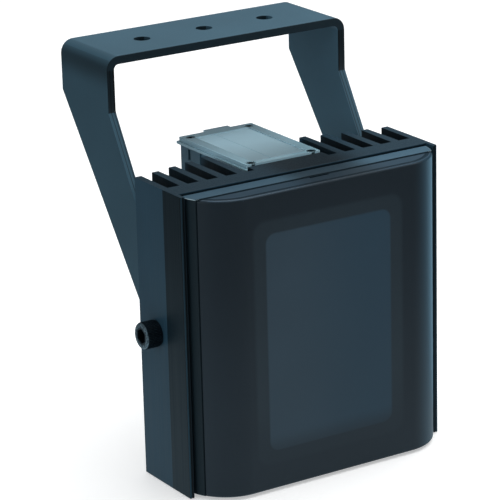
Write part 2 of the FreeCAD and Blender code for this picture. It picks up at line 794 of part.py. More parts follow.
def make_front_window():
    """The front half of the cover: a dark shell with round ends, thinner where the light passes."""
    body = new_body("FrontWindow")
    sketch = sketch_on(body, "window_outline", "XY_Plane", "cover_inset")
    cover_outline(sketch, "0", WINDOW_REAR)
    pad(body, sketch, COVER_HEIGHT)
    faces = [value("cover_inset"), value("sink_height - cover_inset")]
    rear = value(WINDOW_REAR)
    round_edges(body, "window_edges", "cover_edge",
                lambda point: min(abs(point.z - face) for face in faces) < NEAR and point.y < rear - NEAR)
    sketch = sketch_on(body, "window_latch", "XY_Plane", "cover_inset")
    rectangle(sketch, ("-latch_width / 2", f"{WINDOW_REAR} - weld"),
              ("latch_width / 2", f"{BEZEL_FRONT} + latch_reach"))
    pad(body, sketch, COVER_HEIGHT)
    sketch = sketch_on(body, "window_latch_gap", "XZ_Plane", negative(WINDOW_REAR))
    rectangle(sketch, ("-latch_width / 2 - past", "cover_inset + latch_thick"),
              ("latch_width / 2 + past", "sink_height - cover_inset - latch_thick"))
    pocket(body, sketch, "latch_reach + gasket_thick + past")
    sketch = sketch_on(body, "window_hollow", "XY_Plane", "cover_inset + window_wall")
    cover_outline(sketch, "window_wall", WINDOW_REAR, "(window_front - cover_depth)")
    pocket(body, sketch, f"{COVER_HEIGHT} - 2 * window_wall", backwards=True)
    sketch = sketch_on(body, "window_light", "XZ_Plane", "cover_depth - window_front")
    rectangle(sketch, ("-light_width / 2", LIGHT_FOOT),
              ("light_width / 2", LIGHT_TOP))
    pocket(body, sketch, "light_depth", backwards=True)
    side = value("light_width / 2")
    ends = [value(LIGHT_FOOT), value(LIGHT_TOP)]
    round_edges(body, "window_light_corners", "light_round",
                lambda point: max(abs(abs(point.x) - side), min(abs(point.z - end) for end in ends)) < NEAR)
    sketch = sketch_on(body, "window_slots", "XY_Plane", MIDDLE)
    rectangle(sketch, ("-slot_width / 2", SLOT_FRONT), ("slot_width / 2", SLOT_REAR))
    pocket(body, sketch, "sink_height", both_ways=True)
    for name, level, upwards in (("top", "sink_height - cover_inset", False), ("foot", "cover_inset", True)):
        sketch = sketch_on(body, f"window_groove_{name}", "XY_Plane", level)
        cover_outline(sketch, "parting_inset", f"({WINDOW_REAR} + past)")
        cover_outline(sketch, "(parting_inset + parting_width)", f"({WINDOW_REAR} + weld)")
        pocket(body, sketch, "parting_depth", backwards=upwards)
    keep_on_housing("front_window", body)


def make_gaskets():
    """The seals behind the bezel and between bezel and window."""
    body = new_body("BezelGasket")
    sketch = sketch_on(body, "bezel_gasket_ring", "XZ_Plane")
    outer = f"({COVER_HALF} - gasket_setback)"
    low = "(cover_inset + gasket_setback)"
    rectangle(sketch, (negative(outer), low), (outer, f"sink_height - {low}"))
    rectangle(sketch, (f"gasket_band - {outer}", f"{low} + gasket_band"),
              (f"{outer} - gasket_band", f"sink_height - {low} - gasket_band"))
    pad(body, sketch, "gasket_thick")
    keep_on_housing("bezel_gasket", body)
    body = new_body("WindowGasket")
    sketch = sketch_on(body, "window_gasket_outline", "XY_Plane", low)
    cover_outline(sketch, "gasket_setback", BEZEL_FRONT, WINDOW_REAR)
    pad(body, sketch, f"sink_height - 2 * {low}")
    inset = f"({SPIGOT_INSET} - gasket_play)"
    sketch = sketch_on(body, "window_gasket_hollow", "XY_Plane", f"cover_inset + {inset}")
    cover_outline(sketch, inset, BEZEL_FRONT, WINDOW_REAR)
    pocket(body, sketch, f"{COVER_HEIGHT} - 2 * {inset}", backwards=True)
    keep_on_housing("window_gasket", body)


def make_mask_frame():
    """The dark frame round the optics, held between the spigot and the window's front."""
    body = new_body("MaskFrame")
    margin = f"(cover_inset + {SPIGOT_INSET} + mask_play)"
    sketch = sketch_on(body, "mask_plate", "XZ_Plane", negative(SPIGOT_FRONT))
    rectangle(sketch, (negative(MASK_HALF), margin), (MASK_HALF, f"sink_height - {margin}"))
    pad(body, sketch, "mask_thick")
    sketch = sketch_on(body, "mask_collar", "XZ_Plane", negative(SPIGOT_FRONT))
    rectangle(sketch, ("-light_width / 2 - mask_collar", f"{LIGHT_FOOT} - mask_collar"),
              ("light_width / 2 + mask_collar", f"{LIGHT_TOP} + mask_collar"))
    pad(body, sketch, f"cover_depth - window_front + {SPIGOT_FRONT} - face_gap")
    sketch = sketch_on(body, "mask_opening", "XZ_Plane")
    rectangle(sketch, ("-light_width / 2", LIGHT_FOOT),
              ("light_width / 2", LIGHT_TOP))
    pocket(body, sketch, "cover_depth", backwards=True)
    keep_on_housing("mask_frame", body)


# Screws: a pan head, a shank and a hex recess
def screw(name, size, head_at, direction, grip, bite):
    """One screw whose head sits at a point, its shank going along the direction through a grip."""
    axis = direction[-1]
    head = f"{size}_head_height"
    shank = f"({grip} + {bite})"
    down = direction[0] == "-"
    head_start = "0" if down else negative(head)
    shank_start = negative(shank) if down else "0"
    recess_start = f"({head} / 2)" if down else negative(head)
    parts = [
        rod(f"{name}_head", f"{size}_head_radius", head, moved(head_at, axis, head_start), axis),
        rod(f"{name}_shank", f"{size}_radius", shank, moved(head_at, axis, shank_start), axis),
    ]
    recess_at = moved(head_at, axis, recess_start)
    recess = hexagon(f"{name}_recess", f"{size}_key", f"{head} / 2", recess_at, axis)
    return cut(name, fuse(f"{name}_solid", parts), [recess])


def moved(point, axis, distance):
    """Move a point of expressions along one axis."""
    return tuple(f"({part}) + ({distance})" if axis == letter else part for part, letter in zip(point, "XYZ"))


def make_front_screws():
    """The screws that hold the bezel, and those that hold lens plates and boards."""
    made = []
    for index, (across, up) in enumerate(bezel_screw_places()):
        at = (across, f"{BEZEL_REAR} - bezel_flange", up)
        made.append(screw(f"bezel_screw{index}", "m4", at, "+Y", "(gasket_thick + bezel_flange)", "m4_bite"))
    keep_on_housing("bezel_screws", set_of("BezelScrews", made))
    made = []
    for index, (across, up) in enumerate(optic_screw_places()):
        at = (across, OPTIC_FRONT, up)
        made.append(screw(f"optic_screw{index}", "m3", at, "+Y", negative(OPTIC_FRONT), "m3_bite"))
    keep_on_housing("optic_screws", set_of("OpticScrews", made))


# Boards, emitters and lens plates, right side first and then mirrored
def keep_pair(label, thing):
    """Record a right-hand sub-part of the housing and its mirror image."""
    keep_on_housing(f"{label}_right", thing)
    keep_mirror(label, thing)


def keep_mirror(label, thing):
    """Record the mirror image of a finished right-hand sub-part."""
    mirrored = doc.addObject("Part::Mirroring", f"{thing.Name}Left")
    mirrored.Source = thing
    mirrored.Normal = Vector(1, 0, 0)
    keep(f"{label}_left", mirrored)


def optic_places():
    """The middle of each lens of the right board."""
    places = []
    for row in range(int(value("lens_rows"))):
        up = f"({MIDDLE} + ({row} - (lens_rows - 1) / 2) * {LENS_UP})"
        places += [(f"({BOARD_MIDDLE} + {side} * {LENS_ACROSS} / 2)", up) for side in (-1, 1)]
    return places


def optic_holes(name, radius, start, length):
    """Cylinders for the right board's three screws, along Y."""
    places = optic_screw_places()[:3]
    made = []
    for index, (across, up) in enumerate(places):
        made.append(rod(f"{name}{index}", radius, length, (across, start, up), "Y"))
    return made


def make_led_boards():
    """The two boards against the plate, with their emitters."""
    board = centred_block("board_blank", BOARD_WIDTH, BOARD_MIDDLE, ("-board_thick", "0"),
                          (LIGHT_FOOT, LIGHT_TOP))
    holes = optic_holes("board_hole", "m3_radius + screw_play", "-board_thick - past",
                        "board_thick + 2 * past")
    keep_pair("led_board", cut("LedBoard", board, holes))
    emitters = []
    for index, (across, up) in enumerate(optic_places()):
        span = (f"-board_thick - emitter_height", "-board_thick")
        emitters.append(centred_block(f"emitter{index}", "emitter_size", across, span,
                                      (f"{up} - emitter_size / 2", f"{up} + emitter_size / 2")))
    keep_pair("led_emitters", set_of("LedEmitters", emitters))


def make_lens_plates():
    """A clear plate with a cone lens in front of each emitter, on pillars."""
    half_up = f"((lens_rows - 1) / 2 * {LENS_UP} + lens_front + lens_margin)"
    width = f"({LENS_ACROSS} + 2 * lens_front + 2 * lens_margin)"
    plate = centred_block("lens_plate", width, BOARD_MIDDLE, (OPTIC_FRONT, LENS_FRONT),
                          (f"{MIDDLE} - {half_up}", f"{MIDDLE} + {half_up}"))
    pieces = [plate]
    for index, (across, up) in enumerate(optic_places()):
        pieces.append(cone(f"lens{index}", "lens_front", "lens_back", "lens_depth + weld",
                           (across, f"{LENS_FRONT} - weld", up), "Y"))
    depth = negative(OPTIC_FRONT)
    pieces += optic_holes("lens_pillar", "pillar_radius", OPTIC_FRONT, f"{depth} - board_thick")
    bores = optic_holes("lens_bore", "m3_radius + screw_play", f"{OPTIC_FRONT} - past", f"{depth} + past")
    keep_pair("lens_plate", cut("LensPlate", fuse("lens_solid", pieces), bores))


def make_connectors_and_leads():
    """A connector on each board, and four leads that run back through the plate to the driver."""
    low = f"({LIGHT_TOP} - connector_height)"
    made = []
    for side in (1, -1):
        middle = f"({side} * (lead_first + lead_pitch / 2))"
        made.append(centred_block(f"connector{side + 1}", "connector_width", middle,
                                  ("-board_thick - connector_depth", "-board_thick"), (low, LIGHT_TOP)))
    keep_on_housing("board_connectors", set_of("BoardConnectors", made))
    places = ["lead_first", "(lead_first + lead_pitch)"]
    places += [negative(place_x) for place_x in places]
    leads = [lead(index, across) for index, across in enumerate(places)]
    keep_on_housing("led_leads", set_of("LedLeads", leads))


def lead(index, across):
    """One lead: up from the driver, forward through the plate and down to the connector."""
    name = f"lead{index}"
    front = "(-board_thick - connector_depth / 2)"
    rear = f"({PAD_REAR} + lead_foot)"
    turn = f"({LEAD_Z} - lead_bend)"
    parts = [
        rod(f"{name}_riser", "lead_radius", f"{turn} - {DRIVER_TOP}", (across, rear, DRIVER_TOP)),
        bend(f"{name}_rear_bend", (across, f"{rear} - lead_bend", turn), 90),
        rod(f"{name}_run", "lead_radius", f"{rear} - {front} - 2 * lead_bend",
            (across, f"{front} + lead_bend", LEAD_Z), "Y"),
        bend(f"{name}_front_bend", (across, f"{front} + lead_bend", turn), 180),
        rod(f"{name}_drop", "lead_radius", f"{turn} - {LIGHT_TOP}", (across, front, LIGHT_TOP)),
    ]
    return fuse(name, parts)


def bend(name, at, start):
    """A quarter turn of a lead in the plane across X."""
    made = doc.addObject("Part::Torus", name)
    bind(made, "Radius1", "lead_bend")
    bind(made, "Radius2", "lead_radius")
    made.Angle3 = 90
    return place(made, at, Rotation(Vector(1, 0, 0), start).multiply(TURNS["X"]))


def make_wire_bushing():
    """The soft bushing that lines the lead hole through box, pad and plate."""
    flange_y = f"({PAD_REAR} + box_wall)"
    barrel = rod("bushing_barrel", "bushing_radius", flange_y, ("0", "0", LEAD_Z), "Y")
    flange = rod("bushing_lip", "bushing_flange", "bushing_lip", ("0", flange_y, LEAD_Z), "Y")
    through = f"{flange_y} + bushing_lip + 2 * past"
    bore = rod("bushing_bore", "bushing_bore", through, ("0", "-past", LEAD_Z), "Y")
    keep_on_housing("wire_bushing", cut("WireBushing", fuse("bushing_solid", [barrel, flange]), [bore]))


# The terminal box
def post_places():
    """The middles of the four lid screws."""
    return [(across, along) for across in (POST_X, negative(POST_X)) for along in (POST_FRONT, POST_REAR)]


def driver_post_places():
    """The middles of the four posts under the driver board."""
    half = f"({DRIVER_WIDTH} / 2 - driver_post_inset)"
    ends = (f"({DRIVER_FRONT} + driver_post_inset)",
            f"({DRIVER_FRONT} + {DRIVER_LENGTH} - driver_post_inset)")
    return [(across, along) for across in (half, negative(half)) for along in ends]


def make_box_body():
    """The box: walls, floor, screw posts, side ribs and slots, and its holes."""
    body = new_body("BoxBody")
    half = "(box_width / 2)"
    sketch = sketch_on(body, "box_outline", "XY_Plane", BOX_BOTTOM)
    rectangle(sketch, (negative(half), PAD_REAR), (half, BOX_REAR))
    pad(body, sketch, f"{BOX_RIM} - {BOX_BOTTOM}")
    floor = f"({BOX_BOTTOM} + box_wall)"
    sketch = sketch_on(body, "box_hollow", "XY_Plane", floor)
    rectangle(sketch, (f"box_wall - {half}", f"{PAD_REAR} + box_wall"),
              (f"{half} - box_wall", f"{BOX_REAR} - box_wall"))
    pocket(body, sketch, "box_height", backwards=True)
    sketch = sketch_on(body, "box_posts", "XY_Plane", f"{floor} - weld")
    for centre in post_places():
        circle(sketch, centre, "box_post")
    pad(body, sketch, f"{BOX_RIM} - {floor} + weld")
    sketch = sketch_on(body, "box_driver_posts", "XY_Plane", f"{floor} - weld")
    for centre in driver_post_places():
        circle(sketch, centre, "driver_post")
    pad(body, sketch, f"{DRIVER_Z} - {floor} + weld")
    sketch = sketch_on(body, "box_ribs", "XY_Plane", BOX_BOTTOM)
    rib = f"({PAD_REAR} + box_rib_place)"
    rectangle(sketch, (f"-{half} - box_rib", rib), (f"box_wall - {half}", f"{rib} + box_rib"))
    rectangle(sketch, (f"{half} - box_wall", rib), (f"{half} + box_rib", f"{rib} + box_rib"))
    pad(body, sketch, f"{BOX_RIM} - {BOX_BOTTOM}")
    drill_box_body(body)
    keep_on_housing("box_body", body)


def drill_box_body(body):
    """The box's screw holes, side slots, lead hole and gland hole."""
    sketch = sketch_on(body, "box_post_holes", "XY_Plane", BOX_RIM)
    for centre in post_places():
        circle(sketch, centre, "m3_radius + thread_play")
    pocket(body, sketch, "m3_bite + 2 * hole_extra")
    sketch = sketch_on(body, "box_driver_holes", "XY_Plane", DRIVER_Z)
    for centre in driver_post_places():
        circle(sketch, centre, "m3_radius + thread_play")
    pocket(body, sketch, "m3_bite + hole_extra")
    sketch = sketch_on(body, "box_slots", "YZ_Plane")
    along = f"({PAD_REAR} + box_slot_place)"
    top = f"({BOX_RIM} - gasket_thick)"
    rectangle(sketch, (along, f"{top} - box_slot_height"), (f"{along} + box_slot_width", top))
    pocket(body, sketch, "2 * box_width", both_ways=True)
    sketch = sketch_on(body, "box_wall_holes", "XZ_Plane", negative(f"{PAD_REAR} - past"))
    for centre in box_screw_places():
        circle(sketch, centre, "m4_radius + screw_play")
    circle(sketch, ("0", LEAD_Z), "bushing_radius + thread_play")
    pocket(body, sketch, "box_wall + 2 * past")
    sketch = sketch_on(body, "box_gland_hole", "XY_Plane", f"{BOX_BOTTOM} + box_wall + past")
    circle(sketch, ("0", GLAND_Y), "gland_thread + thread_play")
    pocket(body, sketch, "box_wall + 2 * past")


def make_lid():
    """The clear lid with a stepped rim, a sunk field, screw recesses and a rear tab."""
    body = new_body("BoxLid")
    half = f"({LID_WIDTH} / 2)"
    rear = f"({LID_FRONT} + {LID_LENGTH})"
    sketch = sketch_on(body, "lid_flange", "XY_Plane", LID_BOTTOM)
    rectangle(sketch, (negative(half), LID_FRONT), (half, rear))
    pad(body, sketch, "lid_flange")
    sketch = sketch_on(body, "lid_block", "XY_Plane", LID_BOTTOM)
    rectangle(sketch, (f"lid_step - {half}", f"{LID_FRONT} + lid_step"),
              (f"{half} - lid_step", f"{rear} - lid_step"))
    pad(body, sketch, "lid_thick")
    sketch = sketch_on(body, "lid_tab", "XY_Plane", LID_BOTTOM)
    side = "lid_tab_width / 2"
    rectangle(sketch, (f"lid_tab_shift - {side}", f"{rear} - 2 * lid_step"),
              (f"lid_tab_shift + {side}", f"{rear} + lid_tab_reach"))
    pad(body, sketch, "lid_thick")
    sketch = sketch_on(body, "lid_field", "XY_Plane", LID_TOP)
    rectangle(sketch, (f"lid_field_side - {half}", f"{LID_FRONT} + lid_field_front"),
              (f"{half} - lid_field_side", f"{rear} - lid_field_rear"))
    pocket(body, sketch, "lid_field_depth")
    sketch = sketch_on(body, "lid_line", "XY_Plane", LID_TOP)
    rectangle(sketch, ("-lid_line_place - lid_line_width / 2", f"{LID_FRONT} + lid_field_front"),
              ("lid_line_width / 2 - lid_line_place", f"{rear} - lid_field_rear"))
    pocket(body, sketch, "lid_field_depth + lid_line_depth")
    sketch = sketch_on(body, "lid_underside", "XY_Plane", LID_BOTTOM)
    inner = f"({POST_X} - box_post - weld)"
    rectangle(sketch, (negative(inner), f"{POST_FRONT} + box_post + weld"),
              (inner, f"{POST_REAR} - box_post - weld"))
    pocket(body, sketch, "lid_hollow", backwards=True)
    sketch = sketch_on(body, "lid_recesses", "XY_Plane", LID_TOP)
    for centre in post_places():
        circle(sketch, centre, "lid_recess")
    pocket(body, sketch, "lid_recess_depth")
    sketch = sketch_on(body, "lid_holes", "XY_Plane", LID_TOP)
    for centre in post_places():
        circle(sketch, centre, "m3_radius + screw_play")
    pocket(body, sketch, "lid_thick + past")
    keep_on_housing("box_lid", body)


def make_lid_gasket_and_screws():
    """The ring under the lid, and the screws of lid and box."""
    body = new_body("LidGasket")
    sketch = sketch_on(body, "lid_gasket_ring", "XY_Plane", BOX_RIM)
    half = "(box_width / 2)"
    for inset in ("lid_seal_inset", "(lid_seal_inset + lid_seal_band)"):
        rectangle(sketch, (f"{inset} - {half}", f"{PAD_REAR} + {inset}"),
                  (f"{half} - {inset}", f"{BOX_REAR} - {inset}"))
    pad(body, sketch, "gasket_thick")
    keep_on_housing("lid_gasket", body)
    made = []
    for index, (across, along) in enumerate(post_places()):
        at = (across, along, f"({LID_TOP} - lid_recess_depth)")
        grip = "(lid_thick - lid_recess_depth + gasket_thick)"
        made.append(screw(f"lid_screw{index}", "m3", at, "-Z", grip, "m3_bite"))
    keep_on_housing("lid_screws", set_of("LidScrews", made))
    made = []
    for index, (across, up) in enumerate(box_screw_places()):
        at = (across, f"({PAD_REAR} + box_wall)", up)
        made.append(screw(f"box_screw{index}", "m4", at, "-Y", "box_wall", "m4_bite"))
    keep_on_housing("box_screws", set_of("BoxScrews", made))


# The driver board and its components
def make_driver_board():
    """The board on its posts, with its screws."""
    rear = f"({DRIVER_FRONT} + {DRIVER_LENGTH})"
    board = centred_block("driver_blank", DRIVER_WIDTH, "0", (DRIVER_FRONT, rear), (DRIVER_Z, DRIVER_TOP))
    holes = []
    made = []
    for index, (across, along) in enumerate(driver_post_places()):
        start = (across, along, f"{DRIVER_Z} - past")
        holes.append(rod(f"driver_hole{index}", "m3_radius + screw_play", "board_thick + 2 * past", start))
        at = (across, along, DRIVER_TOP)
        made.append(screw(f"pcb_screw{index}", "m3", at, "-Z", "board_thick", "m3_bite"))
    keep_on_housing("driver_board", cut("DriverBoard", board, holes))
    keep_on_housing("pcb_screws", set_of("PcbScrews", made))


def on_driver(name, width, depth, height, across, along):
    """A block that stands on the driver board, by its middle."""
    low = f"({DRIVER_FRONT} + {along} - ({depth}) / 2)"
    top = f"{DRIVER_TOP} + {height}"
    return centred_block(name, width, across, (low, f"{low} + {depth}"), (DRIVER_TOP, top))


def make_components():
    """Coil, capacitor, chip, terminal block and photocell."""
    side = f"({DRIVER_WIDTH} / 4)"
    middle = f"({DRIVER_LENGTH} / 2)"
    base = on_driver("coil_foot", "coil_size", "coil_size", "coil_base", negative(side), middle)
    at = (negative(side), f"{DRIVER_FRONT} + {middle}", f"{DRIVER_TOP} + coil_base")
    drum = rod("coil_drum", "coil_radius", "coil_height", at)
    keep_on_housing("driver_coil", fuse("DriverCoil", [base, drum]))
    at = (side, f"{DRIVER_FRONT} + {middle}", DRIVER_TOP)
    can = rod("capacitor_can", "capacitor_radius", "capacitor_height", at)
    keep_on_housing("driver_capacitor", set_of("DriverCapacitor", [can]))
    chip = on_driver("chip_case", "chip_size", "chip_size", "chip_height", negative(side), "chip_along")
    keep_on_housing("driver_chip", set_of("DriverChip", [chip]))
    at = (side, f"{DRIVER_FRONT} + chip_along", DRIVER_TOP)
    cell = rod("photocell_case", "photocell_radius", "photocell_height", at)
    keep_on_housing("photocell", set_of("Photocell", [cell]))
    keep_on_housing("terminal_block", make_terminal_block())


def make_terminal_block():
    """A row of poles, each with a screw hole on top and a wire hole behind."""
    along = f"({DRIVER_LENGTH} - terminal_back)"
    solid = on_driver("terminal_solid", "terminal_width", "terminal_depth", "terminal_height", "0", along)
    bores = []
    for index in range(int(value("terminal_poles"))):
        across = f"(({index} - (terminal_poles - 1) / 2) * terminal_width / terminal_poles)"
        at = (across, f"{DRIVER_FRONT} + {along}", f"{DRIVER_TOP} + terminal_screw_floor")
        bores.append(rod(f"terminal_screw_hole{index}", "terminal_bore", "terminal_height", at))
        at = (across, f"{DRIVER_FRONT} + {along}", f"{DRIVER_TOP} + terminal_wire_rise")
        bores.append(rod(f"terminal_wire_hole{index}", "terminal_bore", "terminal_depth", at, "Y"))
    return cut("TerminalBlock", solid, bores)


# The cable gland under the box
def gland_rod(name, radius, low, high):
    """A cylinder on the gland's axis between two heights above the box's underside."""
    return rod(name, radius, f"({high}) - ({low})", ("0", GLAND_Y, f"{BOX_BOTTOM} + ({low})"))


def gland_hexagon(name, flats, low, high):
    """A hexagon on the gland's axis between two heights above the box's underside."""
    return hexagon(name, flats, f"({high}) - ({low})", ("0", GLAND_Y, f"{BOX_BOTTOM} + ({low})"))


def make_gland():
    """Gland body, seal, dome nut and the locknut inside."""
    stub = "(-gland_collar - gland_stub)"
    body = fuse("gland_solid", [
        gland_hexagon("gland_collar_hex", "gland_flats", "-gland_collar", "0"),
        gland_rod("gland_stem", "gland_thread", stub, "box_wall + locknut_height + past"),
    ])
    seat = f"({stub} + seal_seat)"
    keep_on_housing("gland_body", cut("GlandBody", body, [
        gland_rod("gland_through", "gland_bore", f"{stub} - past", "box_wall + locknut_height + 2 * past"),
        gland_rod("gland_seat", "seal_radius + gland_play", f"{stub} - past", seat),
    ]))
    seal = gland_rod("seal_solid", "seal_radius", f"{seat} - seal_height", seat)
    bore = gland_rod("seal_through", "seal_bore", f"{seat} - seal_height - past", f"{seat} + past")
    keep_on_housing("gland_seal", cut("GlandSeal", seal, [bore]))
    top = "(-gland_collar - gland_play)"
    foot = f"({top} - gland_nut_height)"
    shoulder = f"({foot} + gland_dome)"
    at = ("0", GLAND_Y, f"{BOX_BOTTOM} + {foot}")
    dome = cone("nut_dome", "gland_thread", "gland_flats / 2", "gland_dome", at)
    solid = fuse("nut_solid", [gland_hexagon("nut_hex", "gland_flats", shoulder, top), dome])
    keep_on_housing("gland_nut", cut("GlandNut", solid, [
        gland_rod("nut_thread", "gland_thread + gland_play", stub, f"{top} + past"),
        gland_rod("nut_seat", "seal_radius + gland_play", f"{seat} - seal_height - gland_play",
                  f"{stub} + weld"),
        gland_rod("nut_mouth", "gland_mouth", f"{foot} - past", f"{stub} + weld"),
    ]))
    locknut = gland_hexagon("locknut_hex", "locknut_flats", "box_wall", "box_wall + locknut_height")
    bore = gland_rod("locknut_bore", "gland_thread + gland_play", "box_wall - past",
                     "box_wall + locknut_height + past")
    keep_on_housing("gland_locknut", cut("GlandLocknut", locknut, [bore]))


# The pivot bolts and washers, in the row's frame
def pivot_rod(name, radius, start, length):
    """A cylinder on the pivot's axis, from a distance out along +X."""
    return rod(name, radius, length, (start, "-pivot_forward", "-pivot_drop"), "X")


def make_pivots():
    """On each side a socket-head bolt, screwed into the arm, and a washer between arm and wall."""
    seat = f"({HALF_WIDTH} + face_gap)"
    inner_end = f"({ARM_FACE} - strip_thick - bolt_end)"
    rim = f"({seat} + bolt_head_height - bolt_head_chamfer)"
    at = (rim, "-pivot_forward", "-pivot_drop")
    bolt = fuse("bolt_solid", [
        pivot_rod("bolt_shank", "bolt_radius", inner_end, f"{seat} - {inner_end} + past"),
        pivot_rod("bolt_head", "bolt_head_radius", seat, "bolt_head_height - bolt_head_chamfer"),
        cone("bolt_bevel", "bolt_head_radius", "bolt_head_radius - bolt_head_chamfer", "bolt_head_chamfer",
             at, "X"),
    ])
    at = (f"{seat} + bolt_head_height - bolt_socket_depth", "-pivot_forward", "-pivot_drop")
    socket = hexagon("bolt_socket_hex", "bolt_socket", "bolt_socket_depth + past", at, "X")
    bolt = keep("pivot_bolt_right", cut("PivotBolt", bolt, [socket]))
    keep_mirror("pivot_bolt", bolt)
    ring = pivot_rod("washer_ring", "washer_radius", ARM_FACE, "washer_thick")
    bore = pivot_rod("washer_bore", "bolt_radius + hinge_play", f"{ARM_FACE} - past",
                     "washer_thick + 2 * past")
    washer = keep("pivot_washer_right", cut("PivotWasher", ring, [bore]))
    keep_mirror("pivot_washer", washer)


def check_and_export():
    """Stop on any failed object or bad shape, then write one file per sub-part."""
    doc.recompute()
    for thing in doc.Objects:
        if {"Invalid", "Error"} & set(thing.State):
            raise RuntimeError(f"{thing.Name} failed: {thing.State}")
    for thing in subparts:
        if thing.Shape.isNull() or not thing.Shape.isValid():
            raise RuntimeError(f"{thing.Label} has a bad shape")
    os.makedirs("parts", exist_ok=True)
    for thing in subparts:
        thing.Shape.exportStep(f"parts/{thing.Label}.step")
        box = thing.Shape.BoundBox
        across = f"x {box.XMin:.1f} {box.XMax:.1f}, y {box.YMin:.1f} {box.YMax:.1f}"
        body = f"{len(thing.Shape.Solids)} solids, {thing.Shape.Volume:.0f} mm3"
        print(f"{thing.Label}: {body}, {across}, z {box.ZMin:.1f} {box.ZMax:.1f}")


fill_sheet()
make_heat_sink()
make_cover_bezel()
make_front_window()
make_gaskets()
make_mask_frame()
make_front_screws()
make_led_boards()
make_lens_plates()
make_connectors_and_leads()
make_wire_bushing()
make_box_body()
make_lid()
make_lid_gasket_and_screws()
make_driver_board()
make_components()
make_gland()
make_bracket()
make_pivots()
check_and_export()
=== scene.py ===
import json
import math

import bmesh
import bpy
from mathutils import Matrix, Vector


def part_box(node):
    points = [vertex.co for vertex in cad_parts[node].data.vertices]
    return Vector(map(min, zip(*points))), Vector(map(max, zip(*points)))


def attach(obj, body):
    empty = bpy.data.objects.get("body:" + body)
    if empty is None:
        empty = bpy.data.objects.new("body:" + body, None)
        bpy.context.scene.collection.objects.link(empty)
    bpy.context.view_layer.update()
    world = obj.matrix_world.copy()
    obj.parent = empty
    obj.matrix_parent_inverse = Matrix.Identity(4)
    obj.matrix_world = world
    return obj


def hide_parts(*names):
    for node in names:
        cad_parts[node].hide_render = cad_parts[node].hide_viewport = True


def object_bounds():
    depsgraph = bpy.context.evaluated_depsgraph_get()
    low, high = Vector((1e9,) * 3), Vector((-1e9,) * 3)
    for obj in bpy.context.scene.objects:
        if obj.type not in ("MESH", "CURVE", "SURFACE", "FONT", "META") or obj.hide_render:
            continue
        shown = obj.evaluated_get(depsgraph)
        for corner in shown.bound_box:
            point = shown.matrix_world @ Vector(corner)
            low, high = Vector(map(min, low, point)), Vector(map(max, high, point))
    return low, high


bl_info = {
    "name": "Infrared Illuminator",
    "version": (1, 0, 0),
    "blender": (4, 5, 0),
    "location": "View3D > Sidebar > Illuminator",
    "description": "Dresses the packed solids of an infrared illuminator with its surfaces and small parts",
    "category": "Add Mesh",
}

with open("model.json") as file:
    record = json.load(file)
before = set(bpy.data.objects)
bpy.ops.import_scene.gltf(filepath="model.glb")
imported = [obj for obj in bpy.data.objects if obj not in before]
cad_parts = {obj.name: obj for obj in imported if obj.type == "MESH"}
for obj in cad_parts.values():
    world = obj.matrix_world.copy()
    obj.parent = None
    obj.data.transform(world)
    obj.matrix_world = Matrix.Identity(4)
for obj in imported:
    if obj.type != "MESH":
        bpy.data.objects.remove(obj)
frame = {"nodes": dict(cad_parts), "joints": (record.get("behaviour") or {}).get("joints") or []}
NODES = frame["nodes"]
CAD_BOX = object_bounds()
MM = 0.001


def box_mm(node):
    """A node's lowest and highest corners, in millimetres."""
    return [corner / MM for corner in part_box(node)]


# Places that the finishes need, in millimetres of the row frame
PIVOT = Vector([value / MM for value in frame["joints"][0]["pos_m"]])
SINK_LOW, SINK_HIGH = box_mm("heat_sink")
SINK_MIDDLE = (SINK_LOW.z + SINK_HIGH.z) / 2
HALF_SINK = SINK_HIGH.z - SINK_MIDDLE
LIP_BACK = SINK_LOW.y + 9  # the lips beside the cover reach back to here
STRIP_BACK = SINK_LOW.y + 19.2  # and the side walls' plain front strip to here
ARM_INSIDE, ARM_OUTSIDE = 77.5, 81.9  # the flat of the arms' cut edges
KNEE = -33  # where the arms' front edges kink
WINDOW_LOW, WINDOW_HIGH = box_mm("front_window")
WINDOW_BACK = WINDOW_LOW.y + 9  # the window's front part, with its painted highlight, ends here
HALF_WINDOW = WINDOW_HIGH.z - SINK_MIDDLE
SEAM_LOW, SEAM_HIGH = box_mm("window_gasket")
ARC_RADIUS = 28.5  # the window's large round ends
ARC_START = 55.6  # their centres, to each side of the middle
FIELD_MIDDLE = -1.9  # the light field's middle across the window
LID_LOW, LID_HIGH = box_mm("box_lid")

# The floor and the backdrop
FOOT_MIDDLE = -80  # the middle of the object's shadow on the floor
WEDGE = (0.88, 0.47)  # the way from there to where the floor looks bluer
BACKDROP = (0.62, 0.78, 0.0)  # the way to the middle of the backdrop

# How meshes are merged and rounded
CREASE = math.radians(32)  # an edge sharper than this is rounded, and shaded as an edge
BROAD = 3  # a broad edge's rounding, against the others'
WELD = 0.002 * MM  # corners closer than this are one


# Sizes and colours that a user would change

def length(label, default, note):
    """A length setting, given in millimetres."""
    return bpy.props.FloatProperty(name=label, description=note, default=default * MM, min=0,
                                   unit="LENGTH", precision=5)


def share(label, default, note):
    """A setting from 0 to 1."""
    return bpy.props.FloatProperty(name=label, description=note, default=default, min=0, max=1,
                                   subtype="FACTOR")


def amount(label, default, note):
    """A setting from 0 up."""
    return bpy.props.FloatProperty(name=label, description=note, default=default, min=0)


def colour(label, default, note):
    """A linear colour setting."""
    return bpy.props.FloatVectorProperty(name=label, description=note, default=default, size=3,
                                         min=0, max=1, subtype="COLOR")


def count(label, default, note):
    """A whole number setting."""
    return bpy.props.IntProperty(name=label, description=note, default=default, min=1)


